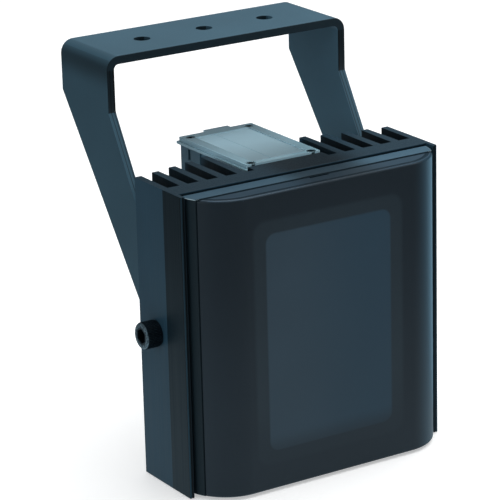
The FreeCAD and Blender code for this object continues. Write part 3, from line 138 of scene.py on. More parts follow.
class IlluminatorColours(bpy.types.PropertyGroup):
    anodised: colour("Anodised", (0.018, 0.047, 0.072), "Heat sink extrusion")
    # Painted shade: a darker copy of the anodised colour for the walls' front strip
    anodised_front: colour("Anodised front", (0.005, 0.013, 0.019), "Front strip of the side walls")
    paint: colour("Bracket paint", (0.034, 0.077, 0.108), "Powder coat of the bracket")
    bezel: colour("Bezel", (0.042, 0.088, 0.126), "Rear half of the front cover")
    # Painted shade: a darker copy of the bezel colour for its sides
    bezel_side_shade: colour("Bezel side", (0.008, 0.017, 0.023), "Sides of the bezel")
    window: colour("Window", (0.010, 0.018, 0.026), "Infrared-pass front of the cover")
    window_ring: colour("Window ring", (0.016, 0.028, 0.038), "Band round the light field")
    window_field: colour("Light field", (0.030, 0.056, 0.080), "Thinner wall in front of the emitters")
    # Painted light: a lighter copy of the window colour for its top and foot faces
    window_top_light: colour("Window top", (0.012, 0.034, 0.056), "Top and foot faces of the window")
    lid: colour("Lid", (0.37, 0.56, 0.65), "Translucent lid of the terminal box")
    box: colour("Box", (0.070, 0.150, 0.205), "Terminal box moulding")
    rubber: colour("Rubber", (0.012, 0.013, 0.014), "Seals and bushing")
    black_steel: colour("Black steel", (0.026, 0.040, 0.052), "Pivot bolts")
    bright_steel: colour("Bright steel", (0.46, 0.47, 0.48), "Washers and small screws")
    board: colour("Board", (0.012, 0.085, 0.035), "Solder mask")
    copper: colour("Copper", (0.62, 0.30, 0.14), "Tracks and windings")
    ceramic: colour("Ceramic", (0.78, 0.77, 0.72), "Emitter packages and connectors")
    moulding: colour("Moulding", (0.014, 0.016, 0.018), "Gland, chip and coil foot")
    lead: colour("Lead", (0.42, 0.028, 0.022), "Wire insulation")
    floor: colour("Floor", (0.80, 0.80, 0.80), "Studio floor")


class IlluminatorSizes(bpy.types.PropertyGroup):
    sink_edge: length("Extrusion edge", 0.22, "Rounding of the heat sink's edges")
    strip_edge: length("Strip edge", 0.10, "Rounding of the bracket's and the window's edges")
    moulding_edge: length("Moulding edge", 0.18, "Rounding of moulded parts' edges")
    steel_edge: length("Steel edge", 0.10, "Rounding of turned and small parts' edges")
    knurl_count: count("Knurl ridges", 54, "Ridges round a pivot bolt's head")
    knurl_rise: length("Knurl rise", 0.28, "Height of the ridges")
    screw_key: share("Screw key", 0.62, "Width of a small screw's hexagon, as a share of its head")
    dome_radius: length("Emitter dome", 1.35, "Radius of an emitter's clear dome")
    winding_turns: count("Winding turns", 9, "Turns of wire on the coil")
    chip_legs: count("Chip legs", 6, "Legs on each side of the chip")


class IlluminatorStage(bpy.types.PropertyGroup):
    focal_length: bpy.props.FloatProperty(
        name="Focal length", description="Lens on a 36 mm wide sensor", default=196.42, min=1,
        unit="CAMERA")
    camera_place: bpy.props.FloatVectorProperty(
        name="Camera place", description="Where the camera stands",
        default=(-0.8164, -1.3520, 0.3803), size=3, subtype="TRANSLATION")
    camera_turn: bpy.props.FloatVectorProperty(
        name="Camera turn", description="Turn to the side, tilt down and roll", size=3,
        subtype="EULER", default=tuple(math.radians(angle) for angle in (-31.993, 18.218, -1.485)))
    sky: amount("Sky", 0.42, "Level of the light from all round")
    top_light: amount("Top light", 23.0, "Power of the soft light above, in watts")
    fill_light: amount("Fill light", 1.0, "Power of the small light at the front right, in watts")
    side_light: amount("Side light", 7.0, "Power of the soft light at the left, in watts")
    dark_side: amount("Dark side", 0.2, "Level of the studio in reflections away from the backdrop")
    floor_reach: length("Floor reach", 600, "How far the bright floor reaches in reflections")


def colours():
    """The scene's colour settings."""
    return bpy.context.scene.illuminator_colours


def dimensions():
    """The scene's size settings."""
    return bpy.context.scene.illuminator_sizes


# Node trees

def overload(operation, reflected=False):
    """A method that puts a wire and another value through one Math node."""
    if reflected:
        return lambda wire, other: wire.maths(operation, other, wire)
    return lambda wire, other: wire.maths(operation, wire, other)


class Wire:
    """An output of a node. Arithmetic on it adds Math nodes to its tree."""

    def __init__(self, web, socket):
        self.web = web
        self.socket = socket

    def maths(self, operation, *values):
        """The result of one Math node."""
        return self.web.add("ShaderNodeMath", dict(enumerate(values)), operation=operation)

    __add__, __radd__ = overload("ADD"), overload("ADD", True)
    __sub__, __rsub__ = overload("SUBTRACT"), overload("SUBTRACT", True)
    __mul__, __rmul__ = overload("MULTIPLY"), overload("MULTIPLY", True)
    __truediv__, __rtruediv__ = overload("DIVIDE"), overload("DIVIDE", True)
    __pow__, __gt__, __lt__ = overload("POWER"), overload("GREATER_THAN"), overload("LESS_THAN")
    at_least, at_most = overload("MAXIMUM"), overload("MINIMUM")

    def __abs__(self):
        return self.maths("ABSOLUTE", self)

    def fraction(self):
        """What is left of the value above a whole number."""
        return self.maths("FRACT", self)


class Web:
    """A node tree that is filled by add."""

    def __init__(self, tree):
        self.tree = tree

    def add(self, kind, sockets=None, output=0, **settings):
        """Adds a node: its settings first, then its sockets' values or links. Gives one of its outputs."""
        node = self.tree.nodes.new(kind)
        for name, value in settings.items():
            setattr(node, name, value)
        for key, value in (sockets or {}).items():
            self.feed(node.inputs[key], value)
        return Wire(self, node.outputs[output])

    def feed(self, socket, value):
        """Links a wire to a socket, or sets the socket's value."""
        if isinstance(value, Wire):
            self.tree.links.new(value.socket, socket)
        elif socket.type == "RGBA" and len(value) == 3:
            socket.default_value = (*value, 1)
        else:
            socket.default_value = value

    def vector(self, operation, *values, output=0, **named):
        """The result of one Vector Math node."""
        return self.add("ShaderNodeVectorMath", {**dict(enumerate(values)), **named}, output,
                        operation=operation)

    def rays(self):
        """Whether a ray comes from the camera or through glass, and whether from a glossy face."""
        path = self.tree.nodes.new("ShaderNodeLightPath").outputs
        camera, glass, glossy = (Wire(self, path[f"Is {kind} Ray"])
                                 for kind in ("Camera", "Transmission", "Glossy"))
        return camera.at_least(glass), glossy


def between(value, low, high, at_low=0.0, at_high=1.0):
    """Eases from one level to another while a value goes from low to high."""
    return value.web.add("ShaderNodeMapRange", {0: value, 1: low, 2: high, 3: at_low, 4: at_high},
                         interpolation_type="SMOOTHSTEP")


def blend(factor, first, second):
    """A colour between two others."""
    return factor.web.add("ShaderNodeMix", {0: factor, 6: first, 7: second}, 2, data_type="RGBA")


def shade(tint, factor):
    """A colour made lighter or darker by what a wire says."""
    return factor.web.vector("SCALE", tint, Scale=factor)


def relief(height, depth_mm):
    """A bump of so many millimetres from a height of 0 to 1."""
    return height.web.add("ShaderNodeBump", {"Height": height, "Distance": depth_mm * MM, "Strength": 1.0})


class Finish(Web):
    """A named material with one Principled surface; place is where a point is, in millimetres."""

    def __init__(self, name, specular=0.5, **constants):
        self.material = bpy.data.materials.new(name)
        self.material.use_nodes = True
        super().__init__(self.material.node_tree)
        self.tree.nodes.clear()
        principled = self.tree.nodes.new("ShaderNodeBsdfPrincipled")
        self.inputs = principled.inputs
        self.surface = Wire(self, principled.outputs[0])
        for label, value in {"Specular IOR Level": specular, **constants}.items():
            self.feed(self.inputs[label.replace("_", " ")], value)
        self.output = self.tree.nodes.new("ShaderNodeOutputMaterial").inputs["Surface"]
        self.feed(self.output, self.surface)
        self.place = self.vector("SCALE", self.add("ShaderNodeTexCoord", output="Object"), Scale=1 / MM)

    def parts(self, letters, vector=None):
        """The parts of the place, or of another vector, that the letters name."""
        node = self.tree.nodes.new("ShaderNodeSeparateXYZ")
        self.feed(node.inputs[0], vector or self.place)
        return [Wire(self, node.outputs[letter]) for letter in letters]

    def facing(self, letters):
        """The same parts of the direction that a face looks in."""
        return self.parts(letters, self.add("ShaderNodeTexCoord", output="Normal"))

    def stretched(self, per_mm):
        """The place, counted in cells: so many to the millimetre, alike or along each axis."""
        return self.vector("MULTIPLY", self.place, per_mm if isinstance(per_mm, tuple) else (per_mm,) * 3)

    def noise(self, per_mm, detail=2.0, roughness=0.5):
        """Noise of about 0 to 1, with so many cells to the millimetre."""
        return self.add("ShaderNodeTexNoise", {"Vector": self.stretched(per_mm), "Scale": 1.0,
                                               "Detail": detail, "Roughness": roughness})

    def cells(self, per_mm):
        """Distance to the nearest of scattered points."""
        return self.add("ShaderNodeTexVoronoi", {"Vector": self.stretched(per_mm), "Scale": 1.0})

    def flecked(self, colour, per_mm, rarity, tint):
        """A colour with faint specks of another tint."""
        return blend(between(self.noise(per_mm, 1), rarity, 0.8) * 0.25, colour, tint)

    def wear(self, colour, roughness=None, normal=None, metallic=None, painted_shade=None):
        """Feeds the surface with what varies over it; the last argument is how much painted shade, a dark
        diffuse surface, is mixed in along seams, slots and grooves.
        """
        varied = {"Base Color": colour, "Roughness": roughness, "Normal": normal, "Metallic": metallic}
        for label, value in varied.items():
            if value is not None:
                self.feed(self.inputs[label], value)
        if painted_shade is not None:
            # Painted shade: a near-black diffuse surface mixed in
            dark = self.add("ShaderNodeBsdfDiffuse", {"Color": (0.004, 0.008, 0.011)})
            self.feed(self.output, self.add("ShaderNodeMixShader", {0: painted_shade, 1: self.surface, 2: dark}))
        return self.material


class Recipe(Web):
    """A Geometry Nodes tree with named inputs, which works in millimetres."""

    def __init__(self, name, **inputs):
        super().__init__(bpy.data.node_groups.new(name, "GeometryNodeTree"))
        face = self.tree.interface
        for way in ("INPUT", "OUTPUT"):
            face.new_socket(name="Geometry", in_out=way, socket_type="NodeSocketGeometry")
        kinds = {int: "NodeSocketInt", float: "NodeSocketFloat", tuple: "NodeSocketVector"}
        self.names = {}
        for label, value in inputs.items():
            socket = face.new_socket(name=label.replace("_", " "), in_out="INPUT",
                                     socket_type=kinds[type(value)])
            socket.default_value = value
            self.names[label] = socket.identifier
        self.entry = self.tree.nodes.new("NodeGroupInput")

    def __getitem__(self, name):
        """The wire of one named input."""
        return Wire(self, self.entry.outputs[name.replace("_", " ")])

    def xyz(self, **parts):
        """A vector from its parts."""
        return self.add("ShaderNodeCombineXYZ", parts)

    def moved(self, shape, **shift):
        """A shape moved along X, Y or Z."""
        return self.add("GeometryNodeTransform", {"Geometry": shape, "Translation": self.xyz(**shift)})

    def joined(self, *shapes):
        """Several shapes as one."""
        node = self.tree.nodes.new("GeometryNodeJoinGeometry")
        for shape in shapes:
            self.feed(node.inputs[0], shape)
        return Wire(self, node.outputs[0])

    def drum(self, radius, depth, sides):
        """A closed cylinder about its own middle."""
        return self.add("GeometryNodeMeshCylinder", {"Vertices": sides, "Radius": radius, "Depth": depth},
                        fill_type="NGON")

    def block(self, **sides):
        """A block about its own middle."""
        return self.add("GeometryNodeMeshCube", {"Size": self.xyz(**sides)})

    def cut(self, shape, tool):
        """A shape with a tool's volume taken out."""
        return self.add("GeometryNodeMeshBoolean", {"Mesh 1": shape, "Mesh 2": tool},
                        operation="DIFFERENCE", solver="EXACT")

    def smooth(self, shape):
        """A shape that is shaded as one smooth face."""
        return self.add("GeometryNodeSetShadeSmooth", {"Geometry": shape})

    def coloured(self, shape, material):
        """A shape in a material."""
        return self.add("GeometryNodeSetMaterial", {"Geometry": shape, "Material": material})

    def on_points(self, points, shape, turn=None):
        """A shape on every point, turned where turn says how."""
        sockets = {"Points": points, "Instance": shape}
        if turn:
            sockets["Rotation"] = turn
        return self.add("GeometryNodeInstanceOnPoints", sockets)

    def set_on_points(self, shape, direction=(0, 0, 1)):
        """A shape on every point that the tree is given, its own Z along a direction."""
        turn = self.add("FunctionNodeAlignRotationToVector", {"Vector": direction}, axis="Z")
        return self.on_points(self["Geometry"], shape, turn)

    def set_round(self, shape, number, radius):
        """A shape repeated round the Z axis, its own X pointing outwards."""
        ring = self.add("GeometryNodeMeshCircle", {"Vertices": number, "Radius": radius})
        angle = self.add("GeometryNodeInputIndex") * (2 * math.pi) / number
        return self.on_points(ring, shape, self.add("FunctionNodeEulerToRotation", {0: self.xyz(Z=angle)}))

    def end(self, shape, material=None):
        """Realises the instances, puts them in a material and closes the tree."""
        whole = self.add("GeometryNodeRealizeInstances", {"Geometry": shape})
        if material:
            whole = self.coloured(whole, material)
        self.feed(self.tree.nodes.new("NodeGroupOutput").inputs[0], whole)
        return self

    def made(self, name, points=((0, 0, 0),), **values):
        """The tree's result on some points, as a plain mesh object in metres."""
        mesh = bpy.data.meshes.new(name)
        mesh.from_pydata([tuple(point) for point in points], [], [])
        piece = linked(name, mesh)
        modifier = piece.modifiers.new("recipe", "NODES")
        modifier.node_group = self.tree
        for key, value in values.items():
            modifier[self.names[key]] = value
        piece = plain(piece)
        piece.data.transform(Matrix.Scale(MM, 4))
        return piece


# Meshes

def linked(name, mesh):
    """A new object with a mesh, in the scene."""
    piece = bpy.data.objects.new(name, mesh)
    bpy.context.scene.collection.objects.link(piece)
    return piece


def from_shape(name, shape):
    """A new object from a bmesh, which is freed."""
    mesh = bpy.data.meshes.new(name)
    shape.to_mesh(mesh)
    shape.free()
    shade_by_angle(mesh)
    return linked(name, mesh)


def plain(piece):
    """The piece with its modifiers worked into its mesh."""
    bpy.context.view_layer.update()
    graph = bpy.context.evaluated_depsgraph_get()
    mesh = bpy.data.meshes.new_from_object(piece.evaluated_get(graph))
    piece.modifiers.clear()
    piece.data = mesh
    return piece


def merged(node):
    """A bmesh of a node, its corners joined."""
    shape = bmesh.new()
    shape.from_mesh(NODES[node].data)
    bmesh.ops.remove_doubles(shape, verts=shape.verts, dist=WELD)
    return shape


def merged_copy(node):
    """A copy of a node's mesh, its triangles merged and laid out evenly."""
    mesh = NODES[node].data.copy()
    mesh.materials.clear()
    shape = merged(node)
    bmesh.ops.triangulate(shape, faces=shape.faces, quad_method="BEAUTY", ngon_method="BEAUTY")
    shape.to_mesh(mesh)
    shape.free()
    for name in [entry.name for entry in mesh.attributes if entry.name.startswith("custom_normal")]:
        mesh.attributes.remove(mesh.attributes[name])
    mesh.polygons.foreach_set("use_smooth", [True] * len(mesh.polygons))
    return mesh


def rounded(piece, width, broad=None):
    """The piece with its sharp edges rounded, more widely where broad says so of an edge's middle."""
    shape = bmesh.new()
    shape.from_mesh(piece.data)
    weight = shape.edges.layers.float.new("bevel_weight_edge")
    for edge in shape.edges:
        if len(edge.link_faces) == 2 and edge.calc_face_angle() > CREASE:
            outwards = edge.calc_face_angle_signed() > 0
            middle = (edge.verts[0].co + edge.verts[1].co) / 2 / MM
            edge[weight] = 1 if outwards and broad and broad(middle) else 1 / BROAD
    shape.to_mesh(piece.data)
    shape.free()
    bevel = piece.modifiers.new("edges", "BEVEL")
    bevel.width = BROAD * width
    bevel.segments = 2
    bevel.limit_method = "WEIGHT"
    bevel.use_clamp_overlap = False
    bevel.loop_slide = False
    even = piece.modifiers.new("shading", "WEIGHTED_NORMAL")
    even.mode = "FACE_AREA_WITH_ANGLE"
    even.weight = 90
    return plain(piece)


def softened(node, name, width, material, broad=None):
    """A copy of a node with rounded edges and even shading, in a material."""
    return painted(rounded(linked(name, merged_copy(node)), width, broad), material)


def islands(node):
    """The lowest and highest corner of each separate solid of a node, in millimetres."""
    shape = merged(node)
    waiting = set(shape.verts)
    found = []
    while waiting:
        reached = [waiting.pop()]
        corners = []
        while reached:
            vert = reached.pop()
            corners.append(vert.co / MM)
            for link in vert.link_edges:
                other = link.other_vert(vert)
                if other in waiting:
                    waiting.remove(other)
                    reached.append(other)
        found.append([Vector([pick(corner[axis] for corner in corners) for axis in range(3)])
                      for pick in (min, max)])
    shape.free()
    return sorted(found, key=lambda pair: tuple(pair[0]))


def lathe(name, node, profile, sides, turn=0.0):
    """A closed turned part on the middle of a node's foot, from pairs of radius and height in millimetres."""
    low, high = box_mm(node)
    middle = (low + high) / 2
    angles = [2 * math.pi * step / sides + turn for step in range(sides)]
    shape = bmesh.new()
    rings = [[shape.verts.new(MM * Vector((middle.x + radius * math.cos(angle),
                                           middle.y + radius * math.sin(angle), low.z + height)))
              for angle in angles] for radius, height in profile]
    for lower, upper in zip(rings, rings[1:]):
        for step in range(sides):
            following = (step + 1) % sides
            shape.faces.new((lower[step], lower[following], upper[following], upper[step]))
    shape.faces.new(list(reversed(rings[0])))
    shape.faces.new(rings[-1])
    bmesh.ops.recalc_face_normals(shape, faces=shape.faces)
    return from_shape(name, shape)


def shade_by_angle(mesh):
    """Smooth shading that stops at sharp edges."""
    mesh.polygons.foreach_set("use_smooth", [True] * len(mesh.polygons))
    mesh.set_sharp_from_angle(angle=CREASE)


def grouped(name, pieces):
    """Several objects as one mesh object."""
    shape = bmesh.new()
    materials = []
    for piece in pieces:
        first = len(shape.faces)
        shape.from_mesh(piece.data)
        shape.faces.ensure_lookup_table()
        order = []
        for material in piece.data.materials:
            if material not in materials:
                materials.append(material)
            order.append(materials.index(material))
        for face in shape.faces[first:]:
            face.material_index = order[min(face.material_index, len(order) - 1)]
    whole = from_shape(name, shape)
    for material in materials:
        whole.data.materials.append(material)
    for piece in pieces:
        bpy.data.objects.remove(piece)
    return whole


def painted(piece, material):
    """The piece in one material."""
    piece.data.materials.clear()
    piece.data.materials.append(material)
    return piece


def settle(piece, node, body="housing"):
    """The piece rides on a body and stands for its node, which is hidden."""
    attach(piece, body)
    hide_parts(node)


def dress(material, *nodes):
    """Gives carried-over nodes their finish."""
    for node in nodes:
        slots = NODES[node].material_slots
        if not slots:
            raise RuntimeError(f"{node} has no material slot")
        for slot in slots:
            slot.material = material


# Finishes

def painted_top_light(x):
    """Painted light and shade along a face on top: painted shade in the middle and painted light to the
    right.
    """
    return between(abs(x - 8), 12, 34, 0.37, 0.9) * between(x, 28, 50, 1, 1.35)


def anodised_finish(name, tint, front_shade_tint):
    """Black anodised extrusion: die lines along Z and sawn ends, with painted shade in the pockets between
    the fins, on the lip fronts and steps and on the walls' front strips, a painted highlight on the lip
    corners and painted light along the ends.
    """
    finish = Finish(name, 0.12)
    x, y, z = finish.parts("XYZ")
    [along] = finish.facing("Y")
    lines = finish.noise((1.1, 1.1, 0.008), 3, 0.6)
    hair = finish.noise((6, 6, 0.03), 2, 0.6)
    cloud = finish.noise((0.03, 0.03, 0.02), 3)
    grain = finish.noise(4, 2, 0.7)
    teeth = finish.noise((0.15, 5.5, 0.2), 3, 0.7)
    # Masks: the sawn ends; each wall's front strip, for painted shade; the outside; the lip fronts with
    # painted shade, the lip corners with a painted highlight and the step with painted shade; and the pockets
    # with painted shade
    ends = between(abs(z - SINK_MIDDLE), HALF_SINK - 0.06, HALF_SINK - 0.02)
    wall = (abs(x) > SINK_HIGH.x - 2.2) * (y < STRIP_BACK)
    outside = abs(x) > SINK_HIGH.x - 1.5
    front = (along < -0.7) * (y < LIP_BACK) * (1 - outside) * (z < SINK_HIGH.z - 0.6)
    corner = (along < -0.4) * outside * (y < LIP_BACK)
    step = outside * (along > -0.3) * (y < SINK_LOW.y + 1.3)
    pocket_shade = (abs(x) < SINK_HIGH.x - 4.0) * between(y, SINK_LOW.y + 18, SINK_LOW.y + 22)
    pocket_shade *= between(y, SINK_HIGH.y - 9, SINK_HIGH.y - 1, 1, 0.2)
    level = 0.72 + 0.34 * lines + 0.22 * hair + 0.28 * (cloud - 0.5)
    # Painted shade: the walls' front strip gets a darker copy of the finish, lighter towards its bottom
    lower = between(z, SINK_LOW.z, SINK_HIGH.z, 1.35, 0.85)
    colour = blend(wall, shade(tint, level), shade(front_shade_tint, level * lower))
    # Painted shade in the pockets, on the lip fronts and the step, and a painted highlight on the lip corners
    places = (1 - 0.8 * pocket_shade) * (1 - 0.75 * front) * (1 + 1.6 * corner) * (1 - 0.5 * step)
    # Painted light and shade along the sawn ends' length
    sawn = (0.42 + 0.2 * teeth + 0.14 * grain) * painted_top_light(x)
    colour = blend(ends, shade(colour, places), shade(tint, sawn))
    colour = finish.flecked(colour, 2.5, 0.76, (0.10, 0.14, 0.17))
    rough = between(lines, 0.3, 0.7, 0.40, 0.52) + 0.06 * ends
    height = lines * (1 - ends) * 0.7 + hair * 0.2 + teeth * ends * 0.6 + grain * 0.15
    return finish.wear(colour, rough, relief(height, 0.03))


def paint_finish(name, tint):
    """Satin powder coat: a fine orange peel, rubbed cut edges and a few specks, with painted shade at the
    bends and on the cut faces above the knee, and painted light on faces on top, on the lower inside faces
    and on the cut faces below the knee.
    """
    finish = Finish(name, 0.14)
    x, z = finish.parts("XZ")
    across, along, up = finish.facing("XYZ")
    peel = finish.noise(0.9, 2)
    fine = finish.noise(5, 2, 0.6)
    cloud = finish.noise(0.02, 3)
    cut = finish.noise((7, 0.25, 0.02), 2, 0.7)
    # The arms' cut edges: rolled along two lines near the inside and the middle, and dull below
    edge = (abs(x) > ARM_INSIDE) * (abs(x) < ARM_OUTSIDE) * (z < -8)
    rolled = between(abs(abs(x) - 78.1), 0.25, 0.5, 1, 0)
    rolled += between(abs(abs(x) - 80.2), 0.15, 0.4, 1, 0)
    dull = between(z, -34, -28, 0.3, 0.75)
    # Painted light and shade: shade on outside faces near the bends, light on the lower inside faces, and
    # shade on the faces to the front and rear above the knee with light below it
    bend_shade = (x * across > 12) * between(z, -6.5, -1.5, 0.6, 0.2) * between(z, -22, -8, 0.2, 1)
    inner_bounce_light = (x * across < -40) * between(z, -90, -20, 0.75, 0.4)
    ends = abs(along) > 0.7
    level = 0.86 + 0.12 * peel + 0.14 * fine + 0.3 * (cloud - 0.5)
    # Painted light and shade: darker bends and cut faces above the knee, lighter lower inside faces, faces on
    # top and cut faces below the knee
    level *= (1 - bend_shade) * (1 + inner_bounce_light) * (1 + 0.3 * (up > 0.7)) * (1 - 0.72 * ends * (z > KNEE))
    level *= 1 + 0.6 * ends * (z < KNEE)
    colour = shade(tint, level * (1 - edge * (dull * cut + 0.5 * rolled).at_most(0.85)))
    colour = finish.flecked(colour, 1.6, 0.78, (0.16, 0.21, 0.24))
    height = peel * 0.6 + fine * 0.25 + edge * cut * 0.8
    return finish.wear(colour, 0.40 + 0.14 * peel, relief(height, 0.025))


def bezel_finish(name, tint, side_shade_tint):
    """Fine spark-eroded moulding, with painted shade on its sides, painted light along its top, a painted
    highlight on the rounded edges at its ends and painted shade along its seam.
    """
    finish = Finish(name, 0.14)
    x, y = finish.parts("XY")
    [up] = finish.facing("Z")
    pits = finish.cells(3.2)
    cloud = finish.noise(0.04, 3)
    flat = between(abs(up), 0.35, 0.8)
    level = 0.85 + 0.2 * cloud + 0.1 * pits
    # Painted shade: the sides get a darker copy of the colour; the top gets painted light along its length
    colour = blend(flat, shade(side_shade_tint, level), shade(tint, level * painted_top_light(x)))
    # A painted highlight on the rounded edges at the ends of the top and foot
    edge_highlight = between(abs(up), 0.3, 0.45) * between(abs(up), 0.8, 0.95, 1, 0) * (abs(x) > 78)
    colour = blend(edge_highlight, colour, (0.34, 0.45, 0.50))
    # Painted shade along the seam to the window
    seam = between(y, SEAM_HIGH.y + 0.4, SEAM_HIGH.y + 0.9, 0.8, 0) * (1 - edge_highlight) * flat
    return finish.wear(colour, 0.42 + 0.14 * pits - 0.12 * edge_highlight, relief(pits, 0.015), painted_shade=seam)


def window_finish(name, tint, ring_tint, field_tint, top_light_tint):
    """Infrared-pass moulding: near black, lighter over the thin light field and in the band round it, with
    painted light on its top and foot faces, painted reflections on the right round end and towards the
    bottom, a painted highlight along its front edges and painted shade in the latch slot, the groove and the
    seam.
    """
    finish = Finish(name, 0.24)
    x, y, z = finish.parts("XYZ")
    across, up = finish.facing("XZ")

    def field(half_width, half_height, corner, soft):
        """Whether a point is in a rounded rectangle about the light field's middle."""
        beside = (abs(x - FIELD_MIDDLE) - (half_width - corner)).at_least(0)
        above = (abs(z - SINK_MIDDLE) - (half_height - corner)).at_least(0)
        return between((beside ** 2 + above ** 2) ** 0.5, corner - soft, corner + soft, 1, 0)

    light = field(42.3, 65, 6, 0.7) * between(z, SINK_MIDDLE - 66, SINK_MIDDLE - 54, 0.35, 1)
    ring = field(50.5, 73, 8, 1.6) * between(z, SINK_MIDDLE - 76, SINK_MIDDLE - 30, 0.25, 1)
    haze = finish.noise(0.012, 2)
    grain = finish.noise(2.4, 3, 0.7)
    mottle = finish.noise(0.5, 2)
    # Painted reflection of the floor: lighter towards the bottom
    lower = between(z, WINDOW_LOW.z, WINDOW_HIGH.z, 1.12, 0.95)
    level = (0.8 + 0.35 * haze + 0.12 * grain + 0.08 * mottle) * lower
    colour = blend(ring, shade(tint, level), shade(ring_tint, level))
    left_field = shade(field_tint, 0.9 + 0.2 * haze)
    right_tint = (0.72 * field_tint[0], 0.92 * field_tint[1], field_tint[2])
    right_field = shade(right_tint, 0.82 + 0.2 * haze + 0.06 * grain)
    colour = blend(light, colour, blend(between(x, -35, 30), left_field, right_field))
    # Painted light: faces on top and at the foot get a lighter copy, varied along their length
    top = shade(top_light_tint, (0.9 + 0.2 * grain) * (0.25 + 0.8 * painted_top_light(x)))
    colour = blend(between(abs(up), 0.5, 0.9), colour, top)
    # A painted reflection of the bluish backdrop on the right round end
    colour = blend(between(across, 0.05, 0.6) * 0.7, colour, (0.016, 0.056, 0.090))
    # A painted highlight along the rounded front edges
    edge_highlight = between(abs(up), 0.2, 0.45) * between(abs(up), 0.85, 0.97, 1, 0)
    colour = shade(colour, 1 + 0.6 * edge_highlight * (y < WINDOW_BACK))
    # Painted shade as dark lines: in the latch slot, in the moulded groove along the round ends, with the
    # highlight dimmed on the left end, and along the seam to the bezel
    slot = (abs(x) < 7) * (y > WINDOW_BACK) * (abs(z - SINK_MIDDLE) < HALF_WINDOW - 0.12)
    bow = (abs(x) - ARC_START).at_least(0)
    depth = ARC_RADIUS - (bow ** 2 + (y - WINDOW_LOW.y - ARC_RADIUS) ** 2) ** 0.5
    groove = between(abs(depth - 2.9), 0.9, 1.5, 0.62, 0) * (abs(up) > 0.9)
    groove += edge_highlight * (depth < 2) * between(x, -60, 0, 0, 0.45)
    seam = between(y, SEAM_LOW.y - 1.7, SEAM_LOW.y - 1.1, 0, 0.8) * (abs(up) > 0.5)
    return finish.wear(colour, 0.36 + 0.10 * grain, relief(grain * 0.6 + mottle * 0.4, 0.008),
                       painted_shade=seam.at_least(slot * 0.95).at_least(groove))


def grained_finish(name, tint, specular, cloud, grain, tone, rough, depth_mm, **constants):
    """A plain finish from two noises: tone and rough hold a mean and the shares of cloud and grain."""
    finish = Finish(name, specular, **constants)
    noises = finish.noise(*cloud), finish.noise(*grain)
    tone, rough = (mean + low * noises[0] + high * noises[1] for mean, low, high in (tone, rough))
    return finish.wear(shade(tint, tone), rough, relief(noises[1], depth_mm))


def rubber_finish(name, tint):
    """Matte rubber with a faint bloom."""
    return grained_finish(name, tint, 0.14, (0.6, 3), (6, 2), (0.7, 0.5, 0.2), (0.62, 0.2, 0), 0.02)


def box_finish(name, tint):
    """Satin moulding with flow marks."""
    return grained_finish(name, tint, 0.35, ((0.06, 0.06, 0.25), 3), (3.5, 2, 0.6), (0.82, 0.28, 0.12),
                          (0.38, 0, 0.14), 0.012)


def ceramic_finish(name, tint):
    """Pale moulded or fired white with a trace of dust."""
    return grained_finish(name, tint, 0.5, (1.2, 3), (7, 2), (0.86, 0.14, 0.06), (0.34, 0.16, 0), 0.008)


def wire_finish(name, tint):
    """Extruded insulation with lengthwise lines."""
    lines = ((4, 0.2, 4), 2)
    return grained_finish(name, tint, 0.45, lines, lines, (0.85, 0, 0.3), (0.35, 0, 0.15), 0.01)


def copper_finish(name, tint):
    """Enamelled winding wire."""
    return grained_finish(name, tint, 0.5, (1.5, 2), (1.5, 2), (0.75, 0, 0.5), (0.22, 0, 0.15), 0.01,
                          Metallic=1.0)


def black_steel_finish(name, tint):
    """Blackened steel, rubbed bright along the head's rim and the ridges' crests."""
    finish = Finish(name, Metallic=1.0)
    x, y, z = finish.parts("XYZ")
    off = ((y - PIVOT.y) ** 2 + (z - PIVOT.z) ** 2) ** 0.5
    blotch = finish.noise(0.9, 4, 0.65)
    scratch = finish.noise((2, 9, 9), 2, 0.7)
    tip = box_mm("pivot_bolt_right")[1].x
    rim = between(abs(x), tip - 0.95, tip - 0.25) * between(off, 4.9, 5.6) * between(blotch, 0.36, 0.56)
    crest = between(off, 7.86, 7.98) * (abs(x) > 88) * between(blotch, 0.5, 0.6) * 0.3
    bright = (rim * 0.75 + crest).at_most(1)
    colour = blend(bright, shade(tint, 0.6 + 0.6 * blotch), (0.20, 0.27, 0.31))
    return finish.wear(colour, 0.40 + 0.18 * blotch - 0.12 * bright,
                       relief(blotch * 0.6 + scratch * 0.4, 0.03))


def bright_steel_finish(name, tint):
    """Zinc plate with fine turning marks and a little dulling."""
    finish = Finish(name, Metallic=1.0)
    dull = finish.noise(0.8, 3)
    marks = finish.noise(8, 2, 0.7)
    colour = blend(between(dull, 0.35, 0.7), tint, shade(tint, 0.62 + 0.3 * marks))
    return finish.wear(colour, 0.28 + 0.2 * dull, relief(marks, 0.008))


